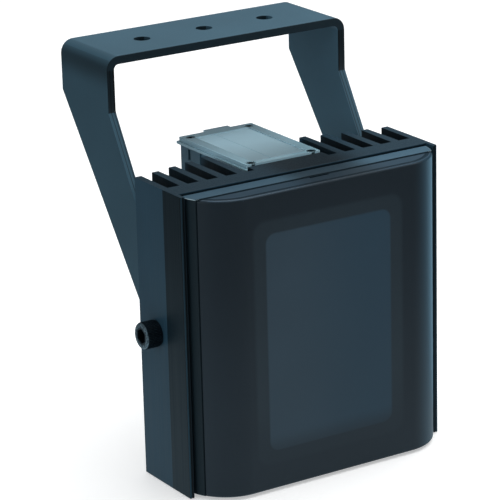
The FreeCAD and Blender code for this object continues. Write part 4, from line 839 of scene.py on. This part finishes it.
def lid_finish(name, tint):
    """Translucent moulding: frosted field, lighter towards the back, with painted shade over the frame where
    the walls stand below it, lighter at the outer rim, and painted light on the sides.
    """
    finish = Finish(name, 0.5, Transmission_Weight=0.22, IOR=1.49)
    x, y = finish.parts("XY")
    [up] = finish.facing("Z")
    frost = finish.noise(2.2, 3, 0.7)
    cloud = finish.noise(0.05, 2)
    half = (LID_HIGH.x - LID_LOW.x) / 2
    field = between(abs(x), half - 8.2, half - 7.6, 1, 0)
    field *= between(y, LID_LOW.y + 5.2, LID_LOW.y + 5.8)
    field *= between(y, LID_HIGH.y - 11.1, LID_HIGH.y - 10.5, 1, 0)
    side = between(abs(up), 0.3, 0.8, 1.2, 0).at_most(1)
    rim = between(abs(x), half - 2.6, half - 1.4)
    level = 0.86 + 0.12 * frost + 0.2 * (cloud - 0.5)
    # Painted shade: the frame gets a darker copy where the box walls stand below it
    walls = shade((tint[0] * 0.92, tint[1], tint[2] * 1.02), level * (0.66 + 0.2 * rim + 0.08 * frost))
    fall = between(y, LID_LOW.y + 5, LID_HIGH.y - 11, 0.55, 1.42)
    colour = blend(field, walls, shade(tint, level * fall))
    # Painted light on the sides
    colour = blend(side, colour, shade(tint, 1.2 + 0.1 * frost))
    return finish.wear(colour, between(field, 0, 1, 0.16, 0.30) + 0.05 * frost,
                       relief(frost, 0.006))


def board_finish(name, tint, copper):
    """Solder mask over tracks that turn here and there, with bare pads."""
    finish = Finish(name)
    x, z = finish.parts("XZ")
    cell = finish.vector("FLOOR", finish.stretched(0.22))
    turned = finish.add("ShaderNodeTexWhiteNoise", {"Vector": cell}, noise_dimensions="3D") > 0.5
    stripe = between(abs(((x + z * turned) * 0.5).fraction() - 0.5), 0.18, 0.22)
    pads = between(finish.cells(0.32), 0.16, 0.13)
    grain = finish.noise(5, 2)
    colour = blend(stripe * 0.5, shade(tint, 0.9 + 0.2 * grain), [1.8 * value for value in tint])
    return finish.wear(blend(pads, colour, copper), 0.32 + 0.1 * grain,
                       relief(stripe * 0.6 + pads * 0.3, 0.03), between(pads, 0, 1, 0, 0.9))


def dome_finish(name, tint):
    """Clear silicone dome with the chip's yellowish middle."""
    finish = Finish(name, 0.5, Transmission_Weight=0.4, IOR=1.45)
    haze = finish.noise(1.5, 2)
    colour = blend(between(haze, 0.3, 0.7), tint, (0.86, 0.80, 0.58))
    return finish.wear(colour, 0.08 + 0.1 * haze, relief(haze, 0.004))


def lens_finish(name, tint):
    """Clear moulded lenses with flow lines and polished faces."""
    finish = Finish(name, 0.5, Transmission_Weight=0.85, IOR=1.49)
    flow = finish.noise((0.3, 0.3, 0.08), 3)
    fine = finish.noise(3, 2)
    colour = blend(flow, tint, [0.92 * value for value in tint])
    return finish.wear(colour, 0.05 + 0.08 * fine, relief(flow, 0.01))


def moulding_finish(name, tint):
    """Dark engineering plastic with a fine grain and glass-fibre specks."""
    finish = Finish(name, 0.35)
    grain = finish.noise(3, 3, 0.7)
    specks = between(finish.cells(1.4), 0.07, 0.04)
    colour = blend(specks * 0.3, shade(tint, 0.8 + 0.4 * grain), (0.07, 0.075, 0.08))
    return finish.wear(colour, 0.42 + 0.18 * grain, relief(grain, 0.015))


def sleeve_finish(name):
    """Shrink sleeve of the capacitor: satin dark blue with a pale polarity band and a bare metal top."""
    finish = Finish(name)
    x, z = finish.parts("XZ")
    wrinkle = finish.noise((0.6, 0.6, 3.0), 2)
    high = box_mm("driver_capacitor")[1]
    band = (x > high.x - 1.4) * (z < high.z - 0.8)
    top = z > high.z - 0.35
    colour = shade((0.012, 0.02, 0.05), 0.8 + 0.4 * wrinkle)
    colour = blend(top, blend(band, colour, (0.42, 0.44, 0.46)), (0.55, 0.56, 0.57))
    return finish.wear(colour, 0.3 + 0.2 * wrinkle, relief(wrinkle, 0.03), top * 0.9)


def floor_finish(name, tint, reach):
    """Pale floor: white to the camera, with the object's shadow, and dimmer far off in reflections."""
    finish = Finish(name, 0.0, Roughness=0.9)
    x, y = finish.parts("XY")
    finish.wear(shade(tint, 0.97 + 0.06 * finish.noise(0.002, 2)))
    seen, mirrored = finish.rays()
    # In reflections a pale pool round the object's middle, and a bluer wedge beside it
    behind = y - FOOT_MIDDLE
    off = (x ** 2 + behind ** 2) ** 0.5
    pool = between(off, 0.15 * reach / MM, reach / MM, 0.85, 0.16)
    beside = between((WEDGE[0] * x + WEDGE[1] * behind) / off.at_least(1), 0.72, 0.95)
    hue = blend(beside, (0.76, 0.92, 1.0), (0.42, 0.76, 1.0))
    white = finish.add("ShaderNodeEmission", {"Color": (1, 1, 1), "Strength": 0.42})
    lit = finish.add("ShaderNodeAddShader", {0: finish.surface, 1: white})
    glow = finish.add("ShaderNodeEmission", {"Color": hue, "Strength": pool.at_least(beside * 1.5)})
    direct = finish.add("ShaderNodeMixShader", {0: seen, 1: finish.surface, 2: lit})
    finish.feed(finish.output, finish.add("ShaderNodeMixShader", {0: mirrored, 1: direct, 2: glow}))
    return finish.material


SHARED = {
    "zinc_plate": (bright_steel_finish, "bright_steel"),
    "dark_moulding": (moulding_finish, "moulding"),
    "seal_rubber": (rubber_finish, "rubber"),
    "solder_mask": (board_finish, "board", "copper"),
    "pale_ceramic": (ceramic_finish, "ceramic"),
}


def shared(name):
    """A finish that several pieces have, made the first time that it is asked for."""
    maker, *tints = SHARED[name]
    return bpy.data.materials.get(name) or maker(name, *(getattr(colours(), tint) for tint in tints))


# Repeated forms

def screw_recipe(material):
    """A cap screw with a bevelled head and a hexagon socket, on every point."""
    recipe = Recipe("screw_recipe", Head_Radius=2.75, Head_Height=1.8, Key=1.7, Shank_Radius=1.5,
                    Shank_Length=6.0, Direction=(0.0, 0.0, 1.0))
    radius, height, length = recipe["Head_Radius"], recipe["Head_Height"], recipe["Shank_Length"]
    bevel, sides = height * 0.18, 28
    head = recipe.moved(recipe.drum(radius, height - bevel, sides), Z=(height - bevel) * -0.5 - bevel)
    crown = recipe.add("GeometryNodeMeshCone", {"Vertices": sides, "Radius Top": radius - bevel,
                                                "Radius Bottom": radius, "Depth": bevel}, fill_type="NGON")
    whole = recipe.add("GeometryNodeMergeByDistance",
                       {"Geometry": recipe.joined(head, recipe.moved(crown, Z=bevel * -1)),
                        "Distance": 0.001})
    socket = recipe.moved(recipe.drum(recipe["Key"], height * 1.1, 6), Z=height * -0.05)
    shank = recipe.moved(recipe.drum(recipe["Shank_Radius"], length, 20), Z=height * -1 - length * 0.5)
    screw = recipe.joined(recipe.cut(whole, socket), shank)
    return recipe.end(recipe.set_on_points(screw, recipe["Direction"]), material)


def knurl_recipe(material):
    """Straight ridges round the Z axis."""
    recipe = Recipe("knurl_recipe", Count=48, Radius=7.7, Rise=0.3, Length=8.0)
    ridge = recipe.drum(recipe["Rise"], recipe["Length"], 4)
    return recipe.end(recipe.set_round(ridge, recipe["Count"], recipe["Radius"]), material)


def emitter_recipe(base_material, dome_material):
    """An emitter package with a clear dome, on every point."""
    recipe = Recipe("emitter_recipe", Side=3.5, Height=1.6, Dome=1.35, Direction=(0.0, -1.0, 0.0))
    side, dome = recipe["Side"], recipe["Dome"]
    squat = 0.7
    foot = recipe["Height"] - dome * squat
    base = recipe.coloured(recipe.moved(recipe.block(X=side, Y=side, Z=foot), Z=foot * 0.5), base_material)
    ball = recipe.add("GeometryNodeMeshUVSphere", {"Segments": 16, "Rings": 8, "Radius": dome})
    ball = recipe.smooth(recipe.add("GeometryNodeTransform", {"Geometry": ball, "Scale": (1, 1, squat)}))
    emitter = recipe.joined(base, recipe.coloured(recipe.moved(ball, Z=foot), dome_material))
    return recipe.end(recipe.set_on_points(emitter, recipe["Direction"]))


def slotted_recipe(material):
    """A cheese-head screw with a slot, on every point."""
    recipe = Recipe("slotted_recipe", Radius=1.5, Height=1.2, Slot=0.5)
    radius, height = recipe["Radius"], recipe["Height"]
    slot = recipe.moved(recipe.block(X=radius * 3, Y=recipe["Slot"], Z=height), Z=height * 0.6)
    head = recipe.cut(recipe.drum(radius, height, 20), slot)
    return recipe.end(recipe.set_on_points(head), material)


def winding_recipe(material):
    """Turns of wire wound up a core."""
    recipe = Recipe("winding_recipe", Turns=9, Radius=5.6, Wire=0.35, Rise=5.5)
    line = recipe.add("GeometryNodeCurveSpiral",
                      {"Resolution": 28, "Rotations": recipe["Turns"], "Start Radius": recipe["Radius"],
                       "End Radius": recipe["Radius"], "Height": recipe["Rise"]})
    ring = recipe.add("GeometryNodeCurvePrimitiveCircle", {"Resolution": 8, "Radius": recipe["Wire"]},
                      mode="RADIUS")
    tube = recipe.add("GeometryNodeCurveToMesh", {"Curve": line, "Profile Curve": ring, "Fill Caps": True})
    return recipe.end(recipe.smooth(tube), material)


def leg_recipe(material):
    """A row of a chip's legs along X, on every point."""
    recipe = Recipe("leg_recipe", Count=6, Pitch=1.2, Reach=0.7, Rise=0.9)
    pitch, reach, rise = recipe["Pitch"], recipe["Reach"], recipe["Rise"]
    width, thickness = pitch * 0.4, 0.15
    shoulder = recipe.moved(recipe.block(X=width, Y=reach, Z=thickness), Y=reach * 0.5, Z=rise)
    drop = recipe.moved(recipe.block(X=width, Y=thickness, Z=rise), Y=reach, Z=rise * 0.5)
    start = recipe.xyz(X=pitch * (recipe["Count"] - 1) * -0.5)
    row = recipe.add("GeometryNodeMeshLine", {"Count": recipe["Count"], "Start Location": start,
                                              "Offset": recipe.xyz(X=pitch)})
    legs = recipe.on_points(row, recipe.joined(shoulder, drop))
    return recipe.end(recipe.set_on_points(legs), material)


# Operators

class IlluminatorHeatSink(bpy.types.Operator):
    """Make the heat sink extrusion."""
    bl_idname = "illuminator.heat_sink"
    bl_label = "Heat sink"

    def execute(self, context):
        finish = anodised_finish("black_anodised", colours().anodised, colours().anodised_front)
        piece = softened("heat_sink", "finned_extrusion", dimensions().sink_edge, finish)
        settle(piece, "heat_sink")
        return {"FINISHED"}


class IlluminatorBracket(bpy.types.Operator):
    """Make the bent bracket."""
    bl_idname = "illuminator.bracket"
    bl_label = "Bracket"

    def execute(self, context):
        finish = paint_finish("bracket_powder_coat", colours().paint)
        piece = softened("bracket", "bent_bracket", dimensions().strip_edge, finish)
        settle(piece, "bracket", "bracket")
        return {"FINISHED"}


class IlluminatorPivotBolts(bpy.types.Operator):
    """Make the knurled pivot bolts and dress their washers."""
    bl_idname = "illuminator.pivot_bolts"
    bl_label = "Pivot bolts"

    def execute(self, context):
        steel = black_steel_finish("blackened_steel", colours().black_steel)
        recipe = knurl_recipe(steel)
        for side in ("left", "right"):
            node = f"pivot_bolt_{side}"
            settle(self.bolt(node, recipe, steel), node, "bracket")
            dress(shared("zinc_plate"), f"pivot_washer_{side}")
        return {"FINISHED"}

    def bolt(self, node, recipe, steel):
        """A bolt whose head is drawn in by the ridges' rise and carries them."""
        low, high = box_mm(node)
        outwards = 1 if high.x > 0 else -1
        tip = high.x if outwards > 0 else low.x
        radius = (high.z - low.z) / 2
        rise = dimensions().knurl_rise / MM
        core = linked(f"{node}_core", merged_copy(node))
        for vert in core.data.vertices:
            place = vert.co / MM
            off = Vector((0, place.y - PIVOT.y, place.z - PIVOT.z))
            if off.length > radius - 0.1:
                off *= (radius - rise) / off.length
                vert.co = MM * Vector((place.x, PIVOT.y + off.y, PIVOT.z + off.z))
        core = painted(rounded(core, dimensions().steel_edge), steel)
        length, margin = 8.0, 1.0
        ridges = recipe.made(f"{node}_knurl", Count=dimensions().knurl_count, Radius=radius - rise, Rise=rise,
                             Length=length)
        middle = Vector((tip - outwards * (margin + length / 2), PIVOT.y, PIVOT.z)) * MM
        ridges.data.transform(Matrix.Translation(middle) @ Matrix.Rotation(math.pi / 2, 4, "Y"))
        return grouped(f"{node}_knurled", [core, ridges])


class IlluminatorCover(bpy.types.Operator):
    """Make the cover's bezel and window and dress their seals."""
    bl_idname = "illuminator.cover"
    bl_label = "Front cover"

    def execute(self, context):
        finish = bezel_finish("bezel_plastic", colours().bezel, colours().bezel_side_shade)
        bezel = softened("cover_bezel", "bezel_moulding", dimensions().moulding_edge, finish, self.outer_rim)
        settle(bezel, "cover_bezel")
        finish = window_finish("infrared_plastic", colours().window, colours().window_ring,
                               colours().window_field, colours().window_top_light)
        window = softened("front_window", "window_moulding", dimensions().strip_edge, finish)
        settle(window, "front_window")
        dress(shared("seal_rubber"), "bezel_gasket", "window_gasket")
        return {"FINISHED"}

    def outer_rim(self, middle):
        """Whether an edge of the bezel is at an end of its top or foot."""
        return abs(middle.x) > 79 and abs(middle.z - SINK_MIDDLE) > HALF_WINDOW - 0.1


class IlluminatorOptics(bpy.types.Operator):
    """Make the emitters, lens plates and mask frame and dress the boards behind the window."""
    bl_idname = "illuminator.optics"
    bl_label = "Optics"

    def execute(self, context):
        sizes = dimensions()
        recipe = emitter_recipe(shared("pale_ceramic"), dome_finish("emitter_silicone", colours().ceramic))
        lens = lens_finish("lens_acrylic", (0.9, 0.93, 0.95))
        for side in ("left", "right"):
            emitters, plate = f"led_emitters_{side}", f"lens_plate_{side}"
            spots = islands(emitters)
            points = [((low.x + high.x) / 2, high.y, (low.z + high.z) / 2) for low, high in spots]
            span = spots[0][1] - spots[0][0]
            piece = recipe.made(f"emitters_{side}", points, Side=span.x, Height=span.y,
                                Dome=sizes.dome_radius / MM)
            settle(piece, emitters)
            settle(softened(plate, f"lens_array_{side}", sizes.moulding_edge, lens), plate)
            dress(shared("solder_mask"), f"led_board_{side}")
        mask = softened("mask_frame", "mask_moulding", sizes.moulding_edge, shared("dark_moulding"))
        settle(mask, "mask_frame")
        plugs = softened("board_connectors", "board_plugs", sizes.steel_edge, shared("pale_ceramic"))
        settle(plugs, "board_connectors")
        return {"FINISHED"}


class IlluminatorTerminalBox(bpy.types.Operator):
    """Make the terminal box and its translucent lid and dress their seal."""
    bl_idname = "illuminator.terminal_box"
    bl_label = "Terminal box"

    def execute(self, context):
        sizes = dimensions()
        finish = box_finish("box_plastic", colours().box)
        settle(softened("box_body", "box_moulding", sizes.moulding_edge, finish), "box_body")
        finish = lid_finish("lid_plastic", colours().lid)
        settle(softened("box_lid", "lid_moulding", sizes.steel_edge, finish), "box_lid")
        dress(shared("seal_rubber"), "lid_gasket")
        return {"FINISHED"}


class IlluminatorScrews(bpy.types.Operator):
    """Make all the small cap screws."""
    bl_idname = "illuminator.screws"
    bl_label = "Small screws"

    def execute(self, context):
        bright = screw_recipe(shared("zinc_plate"))
        # The lid screws get a darker copy of the zinc plate as painted shade from their recesses
        dark = screw_recipe(bright_steel_finish("dark_zinc", (0.08, 0.13, 0.15)))
        towards = {"lid_screws": (0, 0, 1), "pcb_screws": (0, 0, 1), "bezel_screws": (0, -1, 0),
                   "optic_screws": (0, -1, 0), "box_screws": (0, 1, 0)}
        for node, direction in towards.items():
            self.group(node, Vector(direction), dark if node == "lid_screws" else bright)
        return {"FINISHED"}

    def group(self, node, direction, recipe):
        """One group of equal screws, each with its head's top where the solid's is."""
        boxes = islands(node)
        points = [(low + high) / 2 + direction * abs((high - low).dot(direction)) / 2 for low, high in boxes]
        span = boxes[-1][1] - boxes[-1][0]
        width = min(span[axis] for axis in range(3) if not direction[axis])
        widest_m3 = 6.5
        thread, head = (4, 2.6) if width > widest_m3 else (3, 1.8)
        piece = recipe.made(f"{node}_set", points, Head_Radius=width / 2, Head_Height=head,
                            Key=width / 2 * dimensions().screw_key, Shank_Radius=thread / 2,
                            Shank_Length=abs(span.dot(direction)) - head, Direction=tuple(direction))
        shade_by_angle(piece.data)
        settle(piece, node)


class IlluminatorDriver(bpy.types.Operator):
    """Make the driver board's components and dress the board."""
    bl_idname = "illuminator.driver"
    bl_label = "Driver"

    def execute(self, context):
        dress(shared("solder_mask"), "driver_board")
        settle(self.coil(), "driver_coil")
        settle(self.capacitor(), "driver_capacitor")
        settle(self.chip(), "driver_chip")
        settle(self.terminals(), "terminal_block")
        settle(self.photocell(), "photocell")
        return {"FINISHED"}

    def coil(self):
        """A wound drum on a moulded foot."""
        low, high = box_mm("driver_coil")
        tall, foot, flange, rim, core = high.z - low.z, 2.5, 0.9, 6.4, 4.4
        drum = lathe("coil_drum", "driver_coil",
                     [(rim, foot), (rim, foot + flange), (core, foot + flange), (core, tall - flange),
                      (rim, tall - flange), (rim, tall - 0.2), (rim - 0.2, tall)], 40)
        base = lathe("coil_base", "driver_coil", [(9.2, 0), (9.6, 0.4), (9.6, foot - 0.3), (9.2, foot)], 4,
                     math.pi / 4)
        turns, rise = dimensions().winding_turns, tall - foot - 2.7
        winding = winding_recipe(copper_finish("winding_copper", colours().copper)).made(
            "coil_winding", Turns=turns, Radius=5.3, Wire=rise / turns / 2.05, Rise=rise)
        start = Vector(((low.x + high.x) / 2, (low.y + high.y) / 2, low.z + foot + 1.35))
        winding.data.transform(Matrix.Translation(start * MM))
        for piece in (drum, base):
            painted(piece, shared("dark_moulding"))
        return grouped("wound_coil", [drum, base, winding])

    def capacitor(self):
        """A sleeved can with a crimped foot and a pressed top."""
        low, high = box_mm("driver_capacitor")
        radius, tall = (high.x - low.x) / 2, high.z - low.z
        can = radius - 0.05
        profile = [(radius - 0.5, 0), (can, 0.5), (can, 1.6), (radius - 0.6, 2.1), (can, 2.6), (radius, 3.0),
                   (radius, tall - 0.7), (radius - 0.3, tall - 0.2), (radius - 0.8, tall),
                   (radius - 1.1, tall - 0.25)]
        return painted(lathe("sleeved_capacitor", "driver_capacitor", profile, 48),
                       sleeve_finish("capacitor_sleeve"))

    def chip(self):
        """A moulded package with two rows of legs."""
        low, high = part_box("driver_chip")
        sizes = dimensions()
        recipe = leg_recipe(shared("zinc_plate"))
        package = softened("driver_chip", "chip_package", sizes.steel_edge, shared("dark_moulding"))
        rows = []
        for side, y, turn in ((-1, low.y, math.pi), (1, high.y, 0)):
            row = recipe.made(f"chip_row{side}", Count=sizes.chip_legs, Pitch=1.25, Reach=0.8, Rise=0.9)
            place = Matrix.Translation(((low.x + high.x) / 2, y, low.z))
            row.data.transform(place @ Matrix.Rotation(turn, 4, "Z"))
            rows.append(row)
        return grouped("driver_package", [package, *rows])

    def terminals(self):
        """The terminal block with a slotted screw in each pole."""
        low, high = box_mm("terminal_block")
        grey = box_finish("terminal_plastic", [value * 2.4 for value in colours().box])
        block = softened("terminal_block", "terminal_moulding", dimensions().steel_edge, grey)
        poles, screw_rise = 6, 9.0
        pitch = (high.x - low.x) / poles
        points = [(low.x + pitch * (pole + 0.5), (low.y + high.y) / 2, low.z + screw_rise)
                  for pole in range(poles)]
        screws = slotted_recipe(shared("zinc_plate")).made("terminal_screws", points, Radius=1.5, Height=1.0,
                                                           Slot=0.45)
        return grouped("terminal_row", [block, screws])

    def photocell(self):
        """A low round sensor with a domed top."""
        low, high = box_mm("photocell")
        radius, tall = (high.x - low.x) / 2, high.z - low.z
        profile = [(radius, 0), (radius, tall - 1.2), (radius - 0.4, tall - 0.9), (radius * 0.72, tall - 0.3),
                   (radius * 0.4, tall - 0.05), (radius * 0.1, tall)]
        return painted(lathe("photocell_cap", "photocell", profile, 32), shared("dark_moulding"))


class IlluminatorGland(bpy.types.Operator):
    """Make the cable gland under the box."""
    bl_idname = "illuminator.gland"
    bl_label = "Cable gland"

    def execute(self, context):
        for node in ("gland_body", "gland_nut", "gland_locknut"):
            piece = softened(node, f"{node}_moulding", dimensions().moulding_edge, shared("dark_moulding"))
            settle(piece, node)
        dress(shared("seal_rubber"), "gland_seal")
        return {"FINISHED"}


class IlluminatorLeads(bpy.types.Operator):
    """Dress the emitter leads and the bushing that they pass through."""
    bl_idname = "illuminator.leads"
    bl_label = "Leads"

    def execute(self, context):
        dress(wire_finish("lead_insulation", colours().lead), "led_leads")
        dress(shared("seal_rubber"), "wire_bushing")
        return {"FINISHED"}


class IlluminatorStudio(bpy.types.Operator):
    """Set the floor, the lights and the camera."""
    bl_idname = "illuminator.studio"
    bl_label = "Studio"

    def execute(self, context):
        stage = context.scene.illuminator_stage
        self.floor(stage)
        self.world(stage)
        white, bluish = (1, 1, 1), (0.78, 0.93, 1.0)
        self.lamp("top_light", (0.35, 0.15, 1.5), (0, 0, -0.15), 1.6, stage.top_light, white)
        self.lamp("fill_light", (0.42, -0.30, 0.28), (0.05, -0.1, -0.1), 0.25, stage.fill_light, white)
        self.lamp("side_light", (-1.9, -0.3, 0.25), (0, -0.05, -0.2), 1.0, stage.side_light, bluish)
        self.camera(stage)
        context.scene.view_settings.view_transform = "Standard"
        return {"FINISHED"}

    def placed(self, name, data):
        """A new lamp or camera in the scene."""
        thing = bpy.data.objects.new(name, data)
        bpy.context.scene.collection.objects.link(thing)
        return thing

    def floor(self, stage):
        """A wide floor just under the object's foot."""
        mesh = bpy.data.meshes.new("studio_floor")
        gap, reach = 0.4 * MM, 6
        foot = CAD_BOX[0][2] - gap
        corners = [(-reach, -reach, foot), (reach, -reach, foot), (reach, reach, foot), (-reach, reach, foot)]
        mesh.from_pydata(corners, [], [(0, 1, 2, 3)])
        piece = linked("studio_floor", mesh)
        painted(piece, floor_finish("studio_floor_white", colours().floor, stage.floor_reach))

    def world(self, stage):
        """Plain light from all round, a white backdrop for the camera and a dim studio in reflections."""
        world = bpy.data.worlds.new("studio_world")
        bpy.context.scene.world = world
        world.use_nodes = True
        web = Web(world.node_tree)
        web.tree.nodes.clear()
        seen, mirrored = web.rays()
        where = web.add("ShaderNodeTexCoord", output="Generated")
        back = web.vector("DOT_PRODUCT", where, BACKDROP, output="Value")
        band = between(back, 0.55, 0.97, stage.dark_side, 1.6 * stage.dark_side)
        level = stage.sky + seen * (1 - stage.sky) + mirrored * (band - stage.sky)
        hue = blend(mirrored, (0.97, 0.99, 1.0), (0.76, 0.92, 1.0))
        light = web.add("ShaderNodeBackground", {"Color": hue, "Strength": level})
        web.feed(web.tree.nodes.new("ShaderNodeOutputWorld").inputs["Surface"], light)

    def lamp(self, name, place, aim, size, power, tint):
        """A square soft light that points at a place."""
        light = bpy.data.lights.new(name, "AREA")
        light.size = size
        light.energy = power
        light.color = tint
        lamp = self.placed(name, light)
        lamp.location = place
        lamp.rotation_euler = (Vector(aim) - Vector(place)).to_track_quat("-Z", "Y").to_euler()

    def camera(self, stage):
        """The camera at the photograph's place and angle."""
        turn, tilt, roll = stage.camera_turn
        back = Vector((math.sin(turn) * math.cos(tilt), -math.cos(turn) * math.cos(tilt), math.sin(tilt)))
        side = Vector((math.cos(turn), math.sin(turn), 0))
        upright = back.cross(side)
        right = math.cos(roll) * side + math.sin(roll) * upright
        top = -math.sin(roll) * side + math.cos(roll) * upright
        lens = bpy.data.cameras.new("photo_camera")
        lens.sensor_width = 36
        lens.lens = stage.focal_length
        camera = self.placed("photo_camera", lens)
        turned = Matrix((right, top, back)).transposed().to_4x4()
        camera.matrix_world = Matrix.Translation(stage.camera_place) @ turned
        bpy.context.scene.camera = camera


OPERATORS = (
    IlluminatorStudio,
    IlluminatorHeatSink,
    IlluminatorBracket,
    IlluminatorPivotBolts,
    IlluminatorCover,
    IlluminatorOptics,
    IlluminatorTerminalBox,
    IlluminatorScrews,
    IlluminatorDriver,
    IlluminatorGland,
    IlluminatorLeads,
)


class IlluminatorPanel(bpy.types.Panel):
    """Lists the pieces that can be made."""
    bl_idname = "VIEW3D_PT_illuminator"
    bl_label = "Illuminator"
    bl_space_type = "VIEW_3D"
    bl_region_type = "UI"
    bl_category = "Illuminator"

    def draw(self, context):
        for operator in OPERATORS:
            self.layout.operator(operator.bl_idname)


GROUPS = {
    "illuminator_colours": IlluminatorColours,
    "illuminator_sizes": IlluminatorSizes,
    "illuminator_stage": IlluminatorStage,
}
CLASSES = (*GROUPS.values(), *OPERATORS, IlluminatorPanel)


def register():
    """Adds the classes and the scene's settings to Blender."""
    for part in CLASSES:
        bpy.utils.register_class(part)
    for name, group in GROUPS.items():
        setattr(bpy.types.Scene, name, bpy.props.PointerProperty(type=group))


def unregister():
    """Takes them out again."""
    for name in GROUPS:
        delattr(bpy.types.Scene, name)
    for part in reversed(CLASSES):
        bpy.utils.unregister_class(part)


def main():
    """Makes every piece in order."""
    register()
    for operator in OPERATORS:
        family, name = operator.bl_idname.split(".")
        getattr(getattr(bpy.ops, family), name)()


if __name__ == "__main__":
    main()
